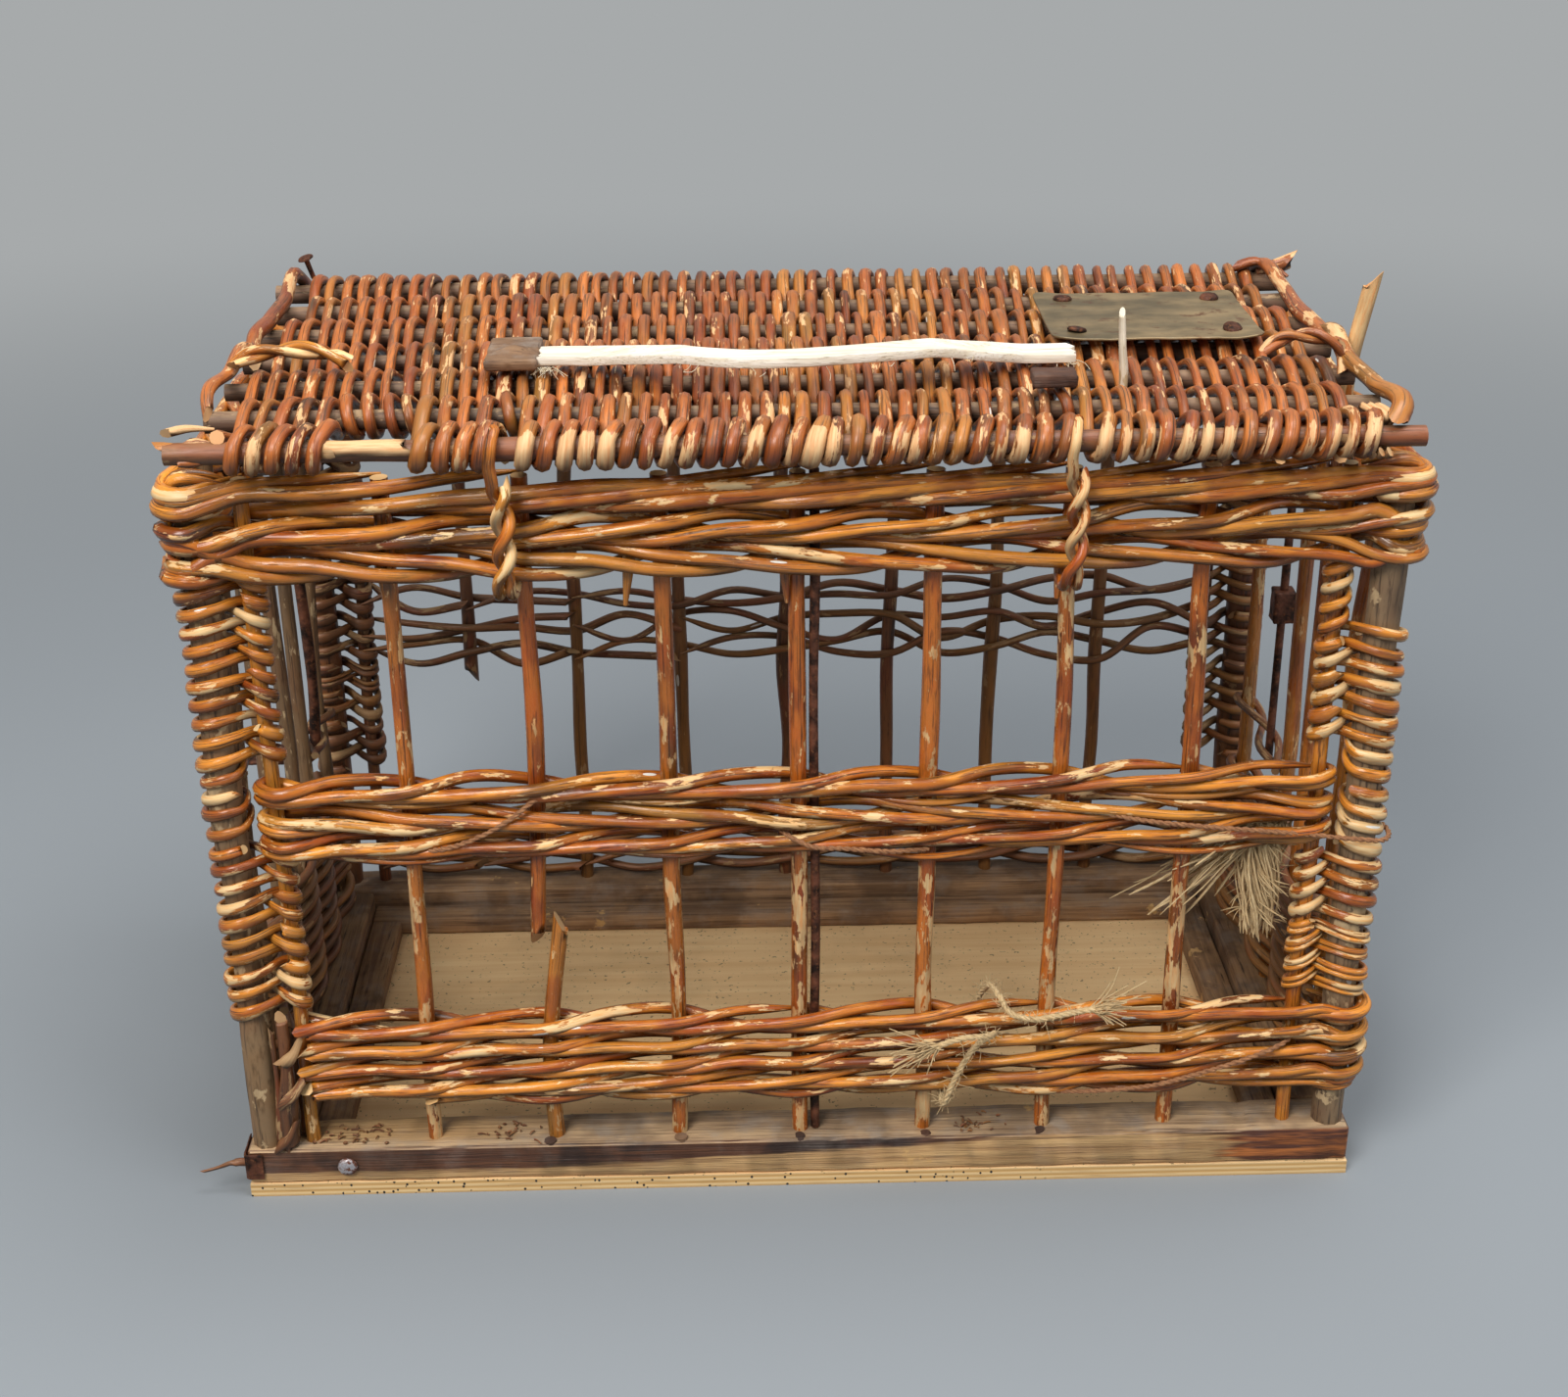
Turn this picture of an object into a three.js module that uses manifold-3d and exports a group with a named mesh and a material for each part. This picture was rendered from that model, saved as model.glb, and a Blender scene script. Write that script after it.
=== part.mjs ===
// Wicker pigeon carrier basket, in millimetres, +Z up. The front faces -Y and the origin is
// at the middle of the plywood's underside. The lid turns on its own front stick, which lies
// in two twisted willow loops, and the left end has an iron bolt that turns.
import * as THREE from 'three';
import { mergeVertices } from 'three/addons/utils/BufferGeometryUtils.js';
import Module from 'manifold-3d';

const wasm = await Module();
wasm.setup();

// Base
const WIDTH = 600;
const DEPTH = 310;
const PLY = 8;
const RAIL_HEIGHT = 22;
const RAIL_WIDTH = 30;
const LEDGE_HEIGHT = 12;
const LEDGE_WIDTH = 19;

// Uprights
const POST_RADIUS = 9;
const POST_INSET = { x: 11, y: 12 };
const CORNER_STAKE_RADIUS = 4;
const CORNER_STAKE_SPACING = 24;
const STAKE_RADIUS = 4.25;
const BAYS = 8;
const IRON_RADIUS = 2.3;
const IRON_OFFSET = 8;
const END_STAKE_Y = 108;
const LEFT_BARS = [-54, 0, 46];
const RIGHT_BARS = [-37, 3];
const STAKE_TOP = 410;
const POST_TOP = 411;
const DRIVEN_ABOVE_PLY = 2;
const REAR_BREAK = 174;
const FRONT_BREAK = { low: 150, high: 168, lean: 4.2, free: 196, straight: 4 };
const BROKEN_BAR = { bend: 421, top: 472, lean: 9 };

// Wicker bands: rod radius, height of the lowest rod's centre, step from rod to rod, rods
const BORDER = { radius: 4.4, first: 362.5, step: 11.4, rods: 5 };
const MID = { radius: 3.8, first: 204, step: 8.4, rods: 3, groupGap: 28 };
const FOOT = { radius: 4.3, first: 60, step: 9.4, rods: 6 };
const REAR_MID = { radius: 2.7, first: 190, step: 13, rods: 4 };
const REAR_FOOT = { radius: 3, first: 38, step: 9, rods: 3 };
const PANEL = { radius: 4.3, first: 36, step: 9.4, rods: 11 };
const EYE = { radius: 2.4, first: 162, step: 6.4, rods: 2 };
const WRAP = { radius: 3, frontStep: 15.3, rearStep: 23.3, clear: 3 };

// Lid
const LID_WIDTH = 572;
const LID_OVERHANG = 7;
const LID_FRONT_Y = -163;
const LID_REAR_Y = 126;
const LID_FRONT_RADIUS = 6.5;
const LID_REAR_RADIUS = 6;
const LID_STICK_RADIUS = 4.5;
const LID_STICKS = 7;
const LID_WEAVER = 3.4;
const LID_STEP = 11.9;
const LID_LINES = 46;
const LID_END = { radius: 4, inset: 2, reach: 5, bend: 8 };

// Fittings, at their places over the lid's sticks
const LOOP_X = [-140, 130];
const LOOP = { strand: 2.8, twist: 3.4, turns: 1.5, foot: 8 };
const STRIP = { stick: 2, width: 20, thickness: 4.5, left: -126, right: 140, bow: 36, rise: 9, flatEnd: 24 };
const KEEPER = { length: 27, width: 44, height: 6, shift: 8, bulge: 8 };
const BLOCK = { stick: 1, x: 126, length: 22, width: 16, height: 7 };
const PLATE = { stick: 3, x: 190, width: 110, depth: 92, thickness: 1.2, corner: 7, nailIn: 15 };
const PLATE_NAIL = { head: 5.2, thick: 1.8, shank: 1.2, length: 9 };
const WITHY = { stick: 2, radius: 3.4, rise: 4.5, bow: 4, steps: 6, left: [-268, -224], right: [240, 262] };
const STUB = { x: 162, y: -94, radius: 1.9, off: 1.3, foot: 3, bend: 14, top: 44, lean: 3 };
const CORNER_NAIL = { head: 4.5, thick: 1.6, shank: 1.5, length: 15 };
const RAIL_NAIL = { x: -246, head: 5.5, thick: 1.9, shank: 1.6, length: 9 };
const BOLT = { y: 80, radius: 3.2, bottom: 150, top: 404, reach: 30, grip: 9 };
const RIGHT_ROD = { y: 45, radius: 2.5, bottom: 150, top: 404 };
const SLEEVE = { side: 13, height: 20, z: 246 };
const STRAP = { thickness: 1.2, front: 9, side: 20, height: 16, z: 12 };
const TWINE_RADIUS = 1.75;

// Clearances
const GAP = 0.3;
const WEAVE_GAP = 0.4;
const WRAP_GAP = 0.8;
const TURN_GAP = 0.5;

// Places that follow from the sizes
const wallY = DEPTH / 2 - POST_INSET.y;
const wallX = WIDTH / 2 - POST_INSET.x;
const cornerX = wallX - CORNER_STAKE_SPACING;
const bay = (2 * cornerX) / BAYS;
const railTop = PLY + RAIL_HEIGHT;
const stakeFoot = PLY + GAP;

const colours = {
  ply: { color: 0xcfa468, roughness: 0.8, metalness: 0 },
  timber: { color: 0x6d5138, roughness: 0.9, metalness: 0 },
  willow: { color: 0xa65a23, roughness: 0.45, metalness: 0 },
  oldWillow: { color: 0x6b4a34, roughness: 0.7, metalness: 0 },
  peeled: { color: 0xd9cba8, roughness: 0.75, metalness: 0 },
  iron: { color: 0x4a332a, roughness: 0.85, metalness: 0.4 },
  plate: { color: 0x57543f, roughness: 0.55, metalness: 0.7 },
  jute: { color: 0xb8935e, roughness: 0.95, metalness: 0 },
};

const basket = new THREE.Group();
const lid = new THREE.Group();
const leftBolt = new THREE.Group();
basket.add(lid, leftBolt);

// A closed mesh whose corners are shared and whose faces point out
function closed(geometry) {
  geometry.deleteAttribute('normal');
  geometry.deleteAttribute('uv');
  const merged = mergeVertices(geometry, 1e-4);
  const place = merged.getAttribute('position');
  const order = merged.getIndex().array;
  const [a, b, c] = [new THREE.Vector3(), new THREE.Vector3(), new THREE.Vector3()];
  let volume = 0;
  for (let i = 0; i < order.length; i += 3) {
    a.fromBufferAttribute(place, order[i]);
    b.fromBufferAttribute(place, order[i + 1]);
    c.fromBufferAttribute(place, order[i + 2]);
    volume += a.dot(b.cross(c)) / 6;
  }
  if (volume < 0) {
    for (let i = 0; i < order.length; i += 3) [order[i], order[i + 1]] = [order[i + 1], order[i]];
  }
  merged.computeVertexNormals();
  return merged;
}

function toSolid(geometry) {
  const merged = closed(geometry.clone());
  return new wasm.Manifold(new wasm.Mesh({
    numProp: 3,
    vertProperties: new Float32Array(merged.getAttribute('position').array),
    triVerts: new Uint32Array(merged.getIndex().array),
  }));
}

function toGeometry(solid) {
  const mesh = solid.getMesh();
  const geometry = new THREE.BufferGeometry();
  geometry.setAttribute('position', new THREE.BufferAttribute(new Float32Array(mesh.vertProperties), 3));
  geometry.setIndex(new THREE.BufferAttribute(new Uint32Array(mesh.triVerts), 1));
  return geometry;
}

const joined = (...pieces) => toGeometry(pieces.map(toSolid).reduce((all, next) => all.add(next)));
const cut = (piece, ...tools) => toGeometry(
  tools.map(toSolid).reduce((left, tool) => left.subtract(tool), toSolid(piece)));

function add(name, geometry, look, group = basket) {
  const mesh = new THREE.Mesh(closed(geometry), new THREE.MeshStandardMaterial(colours[look]));
  mesh.name = name;
  group.add(mesh);
}

// A bent rod: the section is square to the line's halving direction at every bend
class RodLine extends THREE.Curve {
  constructor(points) {
    super();
    this.points = points;
  }

  getPoint(t, target = new THREE.Vector3()) {
    const place = THREE.MathUtils.clamp(t, 0, 1) * (this.points.length - 1);
    const i = Math.min(Math.floor(place), this.points.length - 2);
    return target.lerpVectors(this.points[i], this.points[i + 1], place - i);
  }

  getPointAt(t, target) {
    return this.getPoint(t, target);
  }

  getTangentAt(t, target = new THREE.Vector3()) {
    const i = Math.round(t * (this.points.length - 1));
    target.set(0, 0, 0);
    for (const [from, to] of [[i - 1, i], [i, i + 1]]) {
      if (from < 0 || to >= this.points.length) continue;
      target.add(this.points[to].clone().sub(this.points[from]).normalize());
    }
    return target.normalize();
  }
}

function ring(radius, sides) {
  const corners = [];
  for (let i = 0; i < sides; i += 1) {
    const angle = ((i + 0.5) / sides) * 2 * Math.PI;
    corners.push(new THREE.Vector2(radius * Math.cos(angle), radius * Math.sin(angle)));
  }
  return corners;
}

const along = (section, points) => new THREE.ExtrudeGeometry(new THREE.Shape(section), {
  steps: points.length - 1,
  extrudePath: new RodLine(points),
  bevelEnabled: false,
});
const rod = (points, radius, sides) => along(ring(radius, sides), points);

const { lerp, degToRad } = THREE.MathUtils;
const at = (x, y, z) => new THREE.Vector3(x, y, z);
const upright = (x, y, z0, z1) => [at(x, y, z0), at(x, y, z1)];

const HOLE_SIDES = 10;

// A hole clears its rod at every corner of both
const bore = (radius) => (radius + GAP) / Math.cos(Math.PI / HOLE_SIDES);

function slab(x0, y0, x1, y1, z0, height, holes = []) {
  const outline = new THREE.Shape([
    new THREE.Vector2(x0, y0), new THREE.Vector2(x1, y0),
    new THREE.Vector2(x1, y1), new THREE.Vector2(x0, y1),
  ]);
  for (const hole of holes) {
    const centre = new THREE.Vector2(hole.x, hole.y);
    outline.holes.push(new THREE.Path(ring(hole.radius, HOLE_SIDES).map((corner) => corner.add(centre))));
  }
  return new THREE.ExtrudeGeometry(outline, { depth: height, bevelEnabled: false }).translate(0, 0, z0);
}

const block = (x, y, z, length, width, height) => slab(
  x - length / 2, y - width / 2, x + length / 2, y + width / 2, z, height);

// A clout nail whose head sits at the origin and whose shank points down
function nailShape({ head, thick, shank, length }) {
  const profile = [
    new THREE.Vector2(0, -length),
    new THREE.Vector2(shank, 2 * shank - length),
    new THREE.Vector2(shank, 0),
    new THREE.Vector2(head, 0),
    new THREE.Vector2(head * 0.85, thick),
    new THREE.Vector2(0, thick * 1.2),
  ];
  return new THREE.LatheGeometry(profile, 8).rotateX(Math.PI / 2);
}

// How far a strand's middle stands off each stick that it passes: the steeper it runs from
// stick to stick, the further off it has to be
function lifts(sticks, strand) {
  const clear = (stick) => stick.radius + strand + WEAVE_GAP;
  const lift = sticks.map(clear);
  for (let pass = 0; pass < 4; pass += 1) {
    sticks.forEach((stick, j) => {
      let steepest = 0;
      for (const n of [j - 1, j + 1]) {
        if (n < 0 || n >= sticks.length) continue;
        const sameSide = (sticks[n].phase - stick.phase) % 2 === 0;
        const climb = sameSide ? Math.abs(lift[j] - lift[n]) : lift[j] + lift[n];
        steepest = Math.max(steepest, Math.atan(climb / Math.abs(sticks[n].at - stick.at)));
      }
      lift[j] = clear(stick) / Math.cos(steepest);
    });
  }
  return lift;
}

// One strand woven to and fro through a row of sticks. It passes each stick on the side that
// its phase gives, turns round the last one and comes back a step further on, on the other side.
function weave(sticks, strand, lines, place) {
  const lift = lifts(sticks, strand);
  const points = [];
  lines.forEach((line, k) => {
    const forward = k % 2 === 0;
    const order = [];
    for (let j = line.first; j <= line.last; j += 1) order.push(j);
    if (!forward) order.reverse();
    const side = (j) => ((sticks[j].phase + k) % 2 === 0 ? 1 : -1);
    for (const j of order) points.push(place(sticks[j].at, side(j) * lift[j], line.across));
    const next = lines[k + 1];
    if (!next) return;
    const end = order[order.length - 1];
    const out = forward ? 1 : -1;
    const reach = (sticks[end].radius + strand + WEAVE_GAP) / Math.cos(Math.PI / 8);
    for (const quarter of [1, 2, 3]) {
      const angle = (quarter * Math.PI) / 4;
      points.push(place(
        sticks[end].at + out * reach * Math.sin(angle),
        side(end) * reach * Math.cos(angle),
        lerp(line.across, next.across, quarter / 4)));
    }
  });
  return points;
}

function heights(band) {
  const list = [];
  const groupStarts = band.groupGap ? [0, band.groupGap] : [0];
  for (const start of groupStarts) {
    for (let i = 0; i < band.rods; i += 1) list.push(band.first + start + i * band.step);
  }
  return list;
}

const bottomOf = (band) => band.first - band.radius;
const topOf = (band) => heights(band).at(-1) + band.radius;
const lineThrough = (sticks, list) => list.map((across) => ({ first: 0, last: sticks.length - 1, across }));

// Base board, rails and ledges
add('base_board', block(0, 0, 0, WIDTH, DEPTH, PLY), 'ply');

const stakeX = [];
for (let i = 1; i < BAYS; i += 1) stakeX.push(-cornerX + i * bay);
const middle = stakeX[(BAYS - 2) / 2];

const frontHoles = [-1, 1].flatMap((end) => [
  { x: end * wallX, y: -wallY, radius: bore(POST_RADIUS) },
  { x: end * cornerX, y: -wallY, radius: bore(CORNER_STAKE_RADIUS) },
]);
for (const x of stakeX) frontHoles.push({ x, y: -wallY, radius: bore(STAKE_RADIUS) });
const railNailZ = PLY + RAIL_HEIGHT / 2;
const nailBore = rod([
  at(RAIL_NAIL.x, -DEPTH / 2 - RAIL_NAIL.head, railNailZ),
  at(RAIL_NAIL.x, -DEPTH / 2 + RAIL_NAIL.length + GAP, railNailZ),
], bore(RAIL_NAIL.shank), HOLE_SIDES);
add('front_rail', cut(slab(-WIDTH / 2, -DEPTH / 2, WIDTH / 2, -DEPTH / 2 + RAIL_WIDTH,
  PLY, RAIL_HEIGHT, frontHoles), nailBore), 'timber');
add('rail_nail', nailShape(RAIL_NAIL).rotateX(Math.PI / 2)
  .translate(RAIL_NAIL.x, -DEPTH / 2 - GAP, railNailZ), 'iron');

// The rear and end rails carry their stakes, which are driven tight into them
const drivenFoot = PLY + DRIVEN_ABOVE_PLY;
const driven = (x, y, top, radius = STAKE_RADIUS) => rod(upright(x, y, drivenFoot, top), radius, 8);
const rearUprights = stakeX.slice(1).map((x) => driven(x, wallY, STAKE_TOP));
for (const end of [-1, 1]) {
  rearUprights.push(driven(end * wallX, wallY, POST_TOP, POST_RADIUS));
  rearUprights.push(driven(end * cornerX, wallY, STAKE_TOP, CORNER_STAKE_RADIUS));
}
add('rear_rail', joined(slab(-WIDTH / 2, DEPTH / 2 - RAIL_WIDTH, WIDTH / 2, DEPTH / 2,
  PLY, RAIL_HEIGHT), ...rearUprights), 'timber');

// One bar of the right end has broken loose above and stands up past the lid
const endRailY = DEPTH / 2 - RAIL_WIDTH - GAP;
const brokenBar = rod([
  at(wallX, RIGHT_BARS[0], drivenFoot),
  at(wallX, RIGHT_BARS[0], BROKEN_BAR.bend),
  at(wallX + BROKEN_BAR.lean, RIGHT_BARS[0], BROKEN_BAR.top),
], STAKE_RADIUS, 8);
const endRail = (side, uprights) => joined(
  block(side * (WIDTH - RAIL_WIDTH) / 2, 0, PLY, RAIL_WIDTH, 2 * endRailY, RAIL_HEIGHT), ...uprights);
const endDriven = (side, places) => places.map((y) => driven(side * wallX, y, STAKE_TOP));
add('left_rail', endRail(-1, endDriven(-1, [-END_STAKE_Y, ...LEFT_BARS, END_STAKE_Y])), 'timber');
add('right_rail', endRail(1, [
  ...endDriven(1, [-END_STAKE_Y, ...RIGHT_BARS.slice(1), END_STAKE_Y]), brokenBar,
]), 'timber');

const ledgeX = WIDTH / 2 - RAIL_WIDTH - GAP;
const rearLedgeFront = endRailY - LEDGE_WIDTH;
add('rear_ledge', slab(-ledgeX, rearLedgeFront, ledgeX, endRailY, PLY, LEDGE_HEIGHT), 'timber');
add('left_ledge', slab(-ledgeX, -endRailY, -ledgeX + LEDGE_WIDTH, rearLedgeFront - GAP,
  PLY, LEDGE_HEIGHT), 'timber');
add('right_ledge', slab(ledgeX - LEDGE_WIDTH, -endRailY, ledgeX, rearLedgeFront - GAP,
  PLY, LEDGE_HEIGHT), 'timber');

// Posts and stakes of the front, which stand in their holes
const corners = [
  ['front_left', -1, -1],
  ['front_right', 1, -1],
  ['rear_left', -1, 1],
  ['rear_right', 1, 1],
];
for (const [name, sideX, sideY] of corners) {
  if (sideY > 0) continue;
  add(`${name}_post`, rod(upright(sideX * wallX, -wallY, stakeFoot, POST_TOP), POST_RADIUS, 10),
    'oldWillow');
  add(`${name}_corner_stake`, rod(upright(sideX * cornerX, -wallY, stakeFoot, STAKE_TOP),
    CORNER_STAKE_RADIUS, 8), 'willow');
}

// The second stake has snapped: its stub leans over and its upper part hangs from the bands
stakeX.forEach((x, i) => {
  const name = `front_stake_${i + 1}`;
  if (i !== 1) {
    add(name, rod(upright(x, -wallY, stakeFoot, STAKE_TOP), STAKE_RADIUS, 8), 'willow');
    return;
  }
  add(`${name}_lower`, rod([
    at(x, -wallY, stakeFoot),
    at(x, -wallY, topOf(FOOT) + FRONT_BREAK.straight),
    at(x + 2 * FRONT_BREAK.lean, -wallY, FRONT_BREAK.high),
  ], STAKE_RADIUS, 8), 'willow');
  add(`${name}_upper`, rod([
    at(x - FRONT_BREAK.lean, -wallY, FRONT_BREAK.low),
    at(x, -wallY, FRONT_BREAK.free),
    at(x, -wallY, STAKE_TOP),
  ], STAKE_RADIUS, 8), 'willow');
});

add('rear_broken_stake', rod(upright(stakeX[0], wallY, REAR_BREAK, STAKE_TOP), STAKE_RADIUS, 8),
  'oldWillow');

// A thin iron rod stands beside the middle stake, front and rear
const ironX = middle + IRON_OFFSET;
add('front_iron_rod', rod(upright(ironX, -wallY, railTop + GAP, STAKE_TOP), IRON_RADIUS, 8), 'iron');
add('rear_iron_rod', rod(upright(ironX, wallY, bottomOf(REAR_MID) - 2 * REAR_MID.step, STAKE_TOP),
  IRON_RADIUS, 8), 'iron');

// Bands along the front and the rear
const longSticks = [{ at: -cornerX, radius: CORNER_STAKE_RADIUS, phase: 0 }];
stakeX.forEach((x, i) => {
  longSticks.push({ at: x, radius: STAKE_RADIUS, phase: i + 1 });
  if (x === middle) longSticks.push({ at: ironX, radius: IRON_RADIUS, phase: i + 1 });
});
longSticks.push({ at: cornerX, radius: CORNER_STAKE_RADIUS, phase: BAYS });
const borderSticks = [
  { at: -wallX, radius: POST_RADIUS, phase: 0 },
  ...longSticks,
  { at: wallX, radius: POST_RADIUS, phase: BAYS },
];

function longBand(name, band, sticks, side, look, sides) {
  const place = (x, off, z) => at(x, side * (wallY + off), z);
  const points = weave(sticks, band.radius, lineThrough(sticks, heights(band)), place);
  add(name, rod(points, band.radius, sides), look);
}

longBand('front_border', BORDER, borderSticks, -1, 'willow', 5);
longBand('rear_border', BORDER, borderSticks, 1, 'oldWillow', 4);
longBand('front_mid_band', MID, longSticks, -1, 'willow', 5);
longBand('rear_mid_band', REAR_MID, longSticks, 1, 'oldWillow', 4);
longBand('front_foot_band', FOOT, longSticks, -1, 'willow', 5);
const rearFootSticks = longSticks
  .filter((stick) => stick.at !== ironX && stick.at !== stakeX[0])
  .map((stick, phase) => ({ ...stick, phase }));
longBand('rear_foot_band', REAR_FOOT, rearFootSticks, 1, 'oldWillow', 4);

// Ends: close weave below, open bars above, and the border over them
function endSticks(bars, irons = []) {
  const list = [-END_STAKE_Y, ...bars, END_STAKE_Y].map((y) => ({ at: y, radius: STAKE_RADIUS }));
  for (const iron of irons) list.push({ at: iron.y, radius: iron.radius });
  list.sort((a, b) => a.at - b.at);
  return list.map((stick, phase) => ({ ...stick, phase }));
}

function endBand(name, band, sticks, side, look) {
  const place = (y, off, z) => at(side * (wallX + off), y, z);
  const points = weave(sticks, band.radius, lineThrough(sticks, heights(band)), place);
  add(name, rod(points, band.radius, 4), look);
}

endBand('left_end_panel', PANEL, endSticks(LEFT_BARS), -1, 'oldWillow');
endBand('right_end_panel', PANEL, endSticks(RIGHT_BARS), 1, 'oldWillow');
endBand('left_border', BORDER, endSticks(LEFT_BARS, [BOLT]), -1, 'willow');
endBand('right_border', BORDER, endSticks(RIGHT_BARS, [RIGHT_ROD]), 1, 'willow');

// Two turns of thin willow tie each iron rod of the ends between a bar and the end stake
const eyeSticks = (bar, iron) => [
  { at: bar, radius: STAKE_RADIUS, phase: 0 },
  { at: iron.y, radius: iron.radius, phase: 1 },
  { at: END_STAKE_Y, radius: STAKE_RADIUS, phase: 2 },
];
endBand('left_bolt_tie', EYE, eyeSticks(LEFT_BARS.at(-1), BOLT), -1, 'oldWillow');
endBand('right_rod_tie', EYE, eyeSticks(RIGHT_BARS.at(-1), RIGHT_ROD), 1, 'oldWillow');

// The right end's thin iron rod and the square sleeve on it
add('right_iron_rod', rod(upright(wallX, RIGHT_ROD.y, RIGHT_ROD.bottom, RIGHT_ROD.top),
  RIGHT_ROD.radius, 8), 'iron');
const half = SLEEVE.side / 2;
add('right_rod_sleeve', slab(wallX - half, RIGHT_ROD.y - half, wallX + half, RIGHT_ROD.y + half,
  SLEEVE.z, SLEEVE.height, [{ x: wallX, y: RIGHT_ROD.y, radius: bore(RIGHT_ROD.radius) }]), 'iron');

// The left end's bolt turns in its willow tie: a cranked rod with a spoon-shaped grip
leftBolt.position.set(-wallX, BOLT.y, BOLT.bottom);
const crank = BOLT.radius * 1.5;
const boltRod = rod([
  at(0, 0, BOLT.top - BOLT.bottom),
  at(0, 0, crank),
  at(-crank, 0, 0),
  at(-BOLT.reach, 0, 0),
], BOLT.radius, 8);
const spoon = new THREE.SphereGeometry(BOLT.grip, 10, 6)
  .scale(1.2, 0.75, 0.4)
  .translate(-BOLT.reach - BOLT.grip / 2, 0, 0);
add('left_bolt', joined(boltRod, spoon), 'iron', leftBolt);

// Figure-of-eight willow between each corner post and its stake, one strand for each corner.
// It runs straight up the post's outside where the middle band goes round the stake.
function figureEight(step, zones, sideX, sideY) {
  const aroundPost = POST_RADIUS + WRAP.radius + WRAP_GAP;
  const aroundStake = CORNER_STAKE_RADIUS + WRAP.radius + WRAP_GAP;
  const cross = Math.acos((aroundPost + aroundStake) / CORNER_STAKE_SPACING);
  const sweep = 2 * Math.PI - 2 * cross;
  const postSteps = 5;
  const stakeSteps = 4;
  const halfSteps = 3;
  const points = [];
  const arc = (centre, radius, from, turn, steps, z0) => {
    for (let i = 0; i <= steps; i += 1) {
      const angle = from + (turn * i) / steps;
      const bulge = i === 0 || i === steps ? 1 : 1 / Math.cos(sweep / steps / 2);
      const x = centre + radius * bulge * Math.cos(angle);
      const y = radius * bulge * Math.sin(angle);
      points.push(at(sideX * (wallX - x), sideY * (wallY - y), z0 + (0.4 * step * i) / steps));
    }
  };
  const outside = -Math.PI;
  zones.forEach(([low, high], zone) => {
    const turns = Math.floor((high - low) / step);
    for (let k = 0; k < turns; k += 1) {
      const z = low + k * step;
      if (zone > 0 && k === 0) {
        arc(0, aroundPost, outside, cross - Math.PI, halfSteps, z);
      } else {
        arc(0, aroundPost, -cross, -sweep, postSteps, z);
      }
      arc(CORNER_STAKE_SPACING, aroundStake, Math.PI + cross, sweep, stakeSteps, z + step / 2);
    }
    if (zone < zones.length - 1) {
      arc(0, aroundPost, -cross, cross - Math.PI, halfSteps, low + turns * step);
    }
  });
  return points;
}

const wrapRoom = WRAP.radius + WRAP.clear;
const wrapZones = [
  [topOf(FOOT) + wrapRoom, bottomOf(MID) - wrapRoom],
  [topOf(MID) + wrapRoom, bottomOf(BORDER) - wrapRoom],
];
for (const [name, sideX, sideY] of corners) {
  const step = sideY < 0 ? WRAP.frontStep : WRAP.rearStep;
  add(`${name}_wrap`, rod(figureEight(step, wrapZones, sideX, sideY), WRAP.radius, 4),
    sideY < 0 ? 'willow' : 'oldWillow');
}

// The lid rests on the border and turns about its front stick
const lidDepth = LID_REAR_Y - LID_FRONT_Y;
const lidSticks = [];
for (let j = 0; j < LID_STICKS; j += 1) {
  lidSticks.push({ at: (lidDepth * j) / (LID_STICKS - 1), radius: LID_STICK_RADIUS, phase: j });
}
const frontStick = lidSticks[0];
const rearStick = lidSticks.at(-1);
frontStick.radius = LID_FRONT_RADIUS;
rearStick.radius = LID_REAR_RADIUS;
const lidZ = topOf(BORDER) + lifts(lidSticks, LID_WEAVER)[0] + LID_WEAVER + GAP;
lid.position.set(0, LID_FRONT_Y, lidZ);

const lidStick = (stick, sides, length) => rod(
  [at(-length / 2, stick.at, 0), at(length / 2, stick.at, 0)], stick.radius, sides);
add('lid_front_stick', lidStick(frontStick, 10, LID_WIDTH + 2 * LID_OVERHANG), 'willow', lid);
add('lid_rear_stick', lidStick(rearStick, 10, LID_WIDTH + 2 * LID_OVERHANG), 'oldWillow', lid);

// The inner sticks are bound to a withy at each end of the lid, which bends over the two
// border sticks
const endWithyX = LID_WIDTH / 2 - LID_END.radius - LID_END.inset;
const endWithy = (side) => {
  const x = side * endWithyX;
  const over = LID_FRONT_RADIUS + LID_END.radius + 2 * GAP;
  const down = LID_STICK_RADIUS + LID_END.radius - 1;
  const [first, last] = [lidSticks[1].at, lidSticks.at(-2).at];
  return rod([
    at(x, -LID_END.reach, over), at(x, LID_END.bend, over), at(x, first - LID_END.bend, down),
    at(x, last + LID_END.bend, down), at(x, lidDepth - LID_END.bend, over),
    at(x, lidDepth + LID_END.reach, over),
  ], LID_END.radius, 8);
};
add('lid_inner_sticks', joined(...lidSticks.slice(1, -1).map((stick) => lidStick(stick, 6, LID_WIDTH)),
  endWithy(-1), endWithy(1)), 'oldWillow', lid);

// The lid's weave starts behind the front stick where a loop holds the stick
const lineX = (k) => (k - (LID_LINES - 1) / 2) * LID_STEP;
const loopHalf = LOOP.twist + LOOP.strand + TURN_GAP;
const lidLines = [];
for (let k = 0; k < LID_LINES; k += 1) {
  const left = lineX(k % 2 === 1 ? k : k - 1) - LID_WEAVER;
  const right = left + LID_STEP + 2 * LID_WEAVER;
  const meetsLoop = LOOP_X.some((x) => right > x - loopHalf && left < x + loopHalf);
  lidLines.push({ first: meetsLoop ? 1 : 0, last: LID_STICKS - 1, across: lineX(k) });
}
const lidWeave = rod(weave(lidSticks, LID_WEAVER, lidLines, (y, off, x) => at(x, y, off)), LID_WEAVER, 4);
add('lid_weave', lidWeave.clone(), 'willow', lid);

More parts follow.
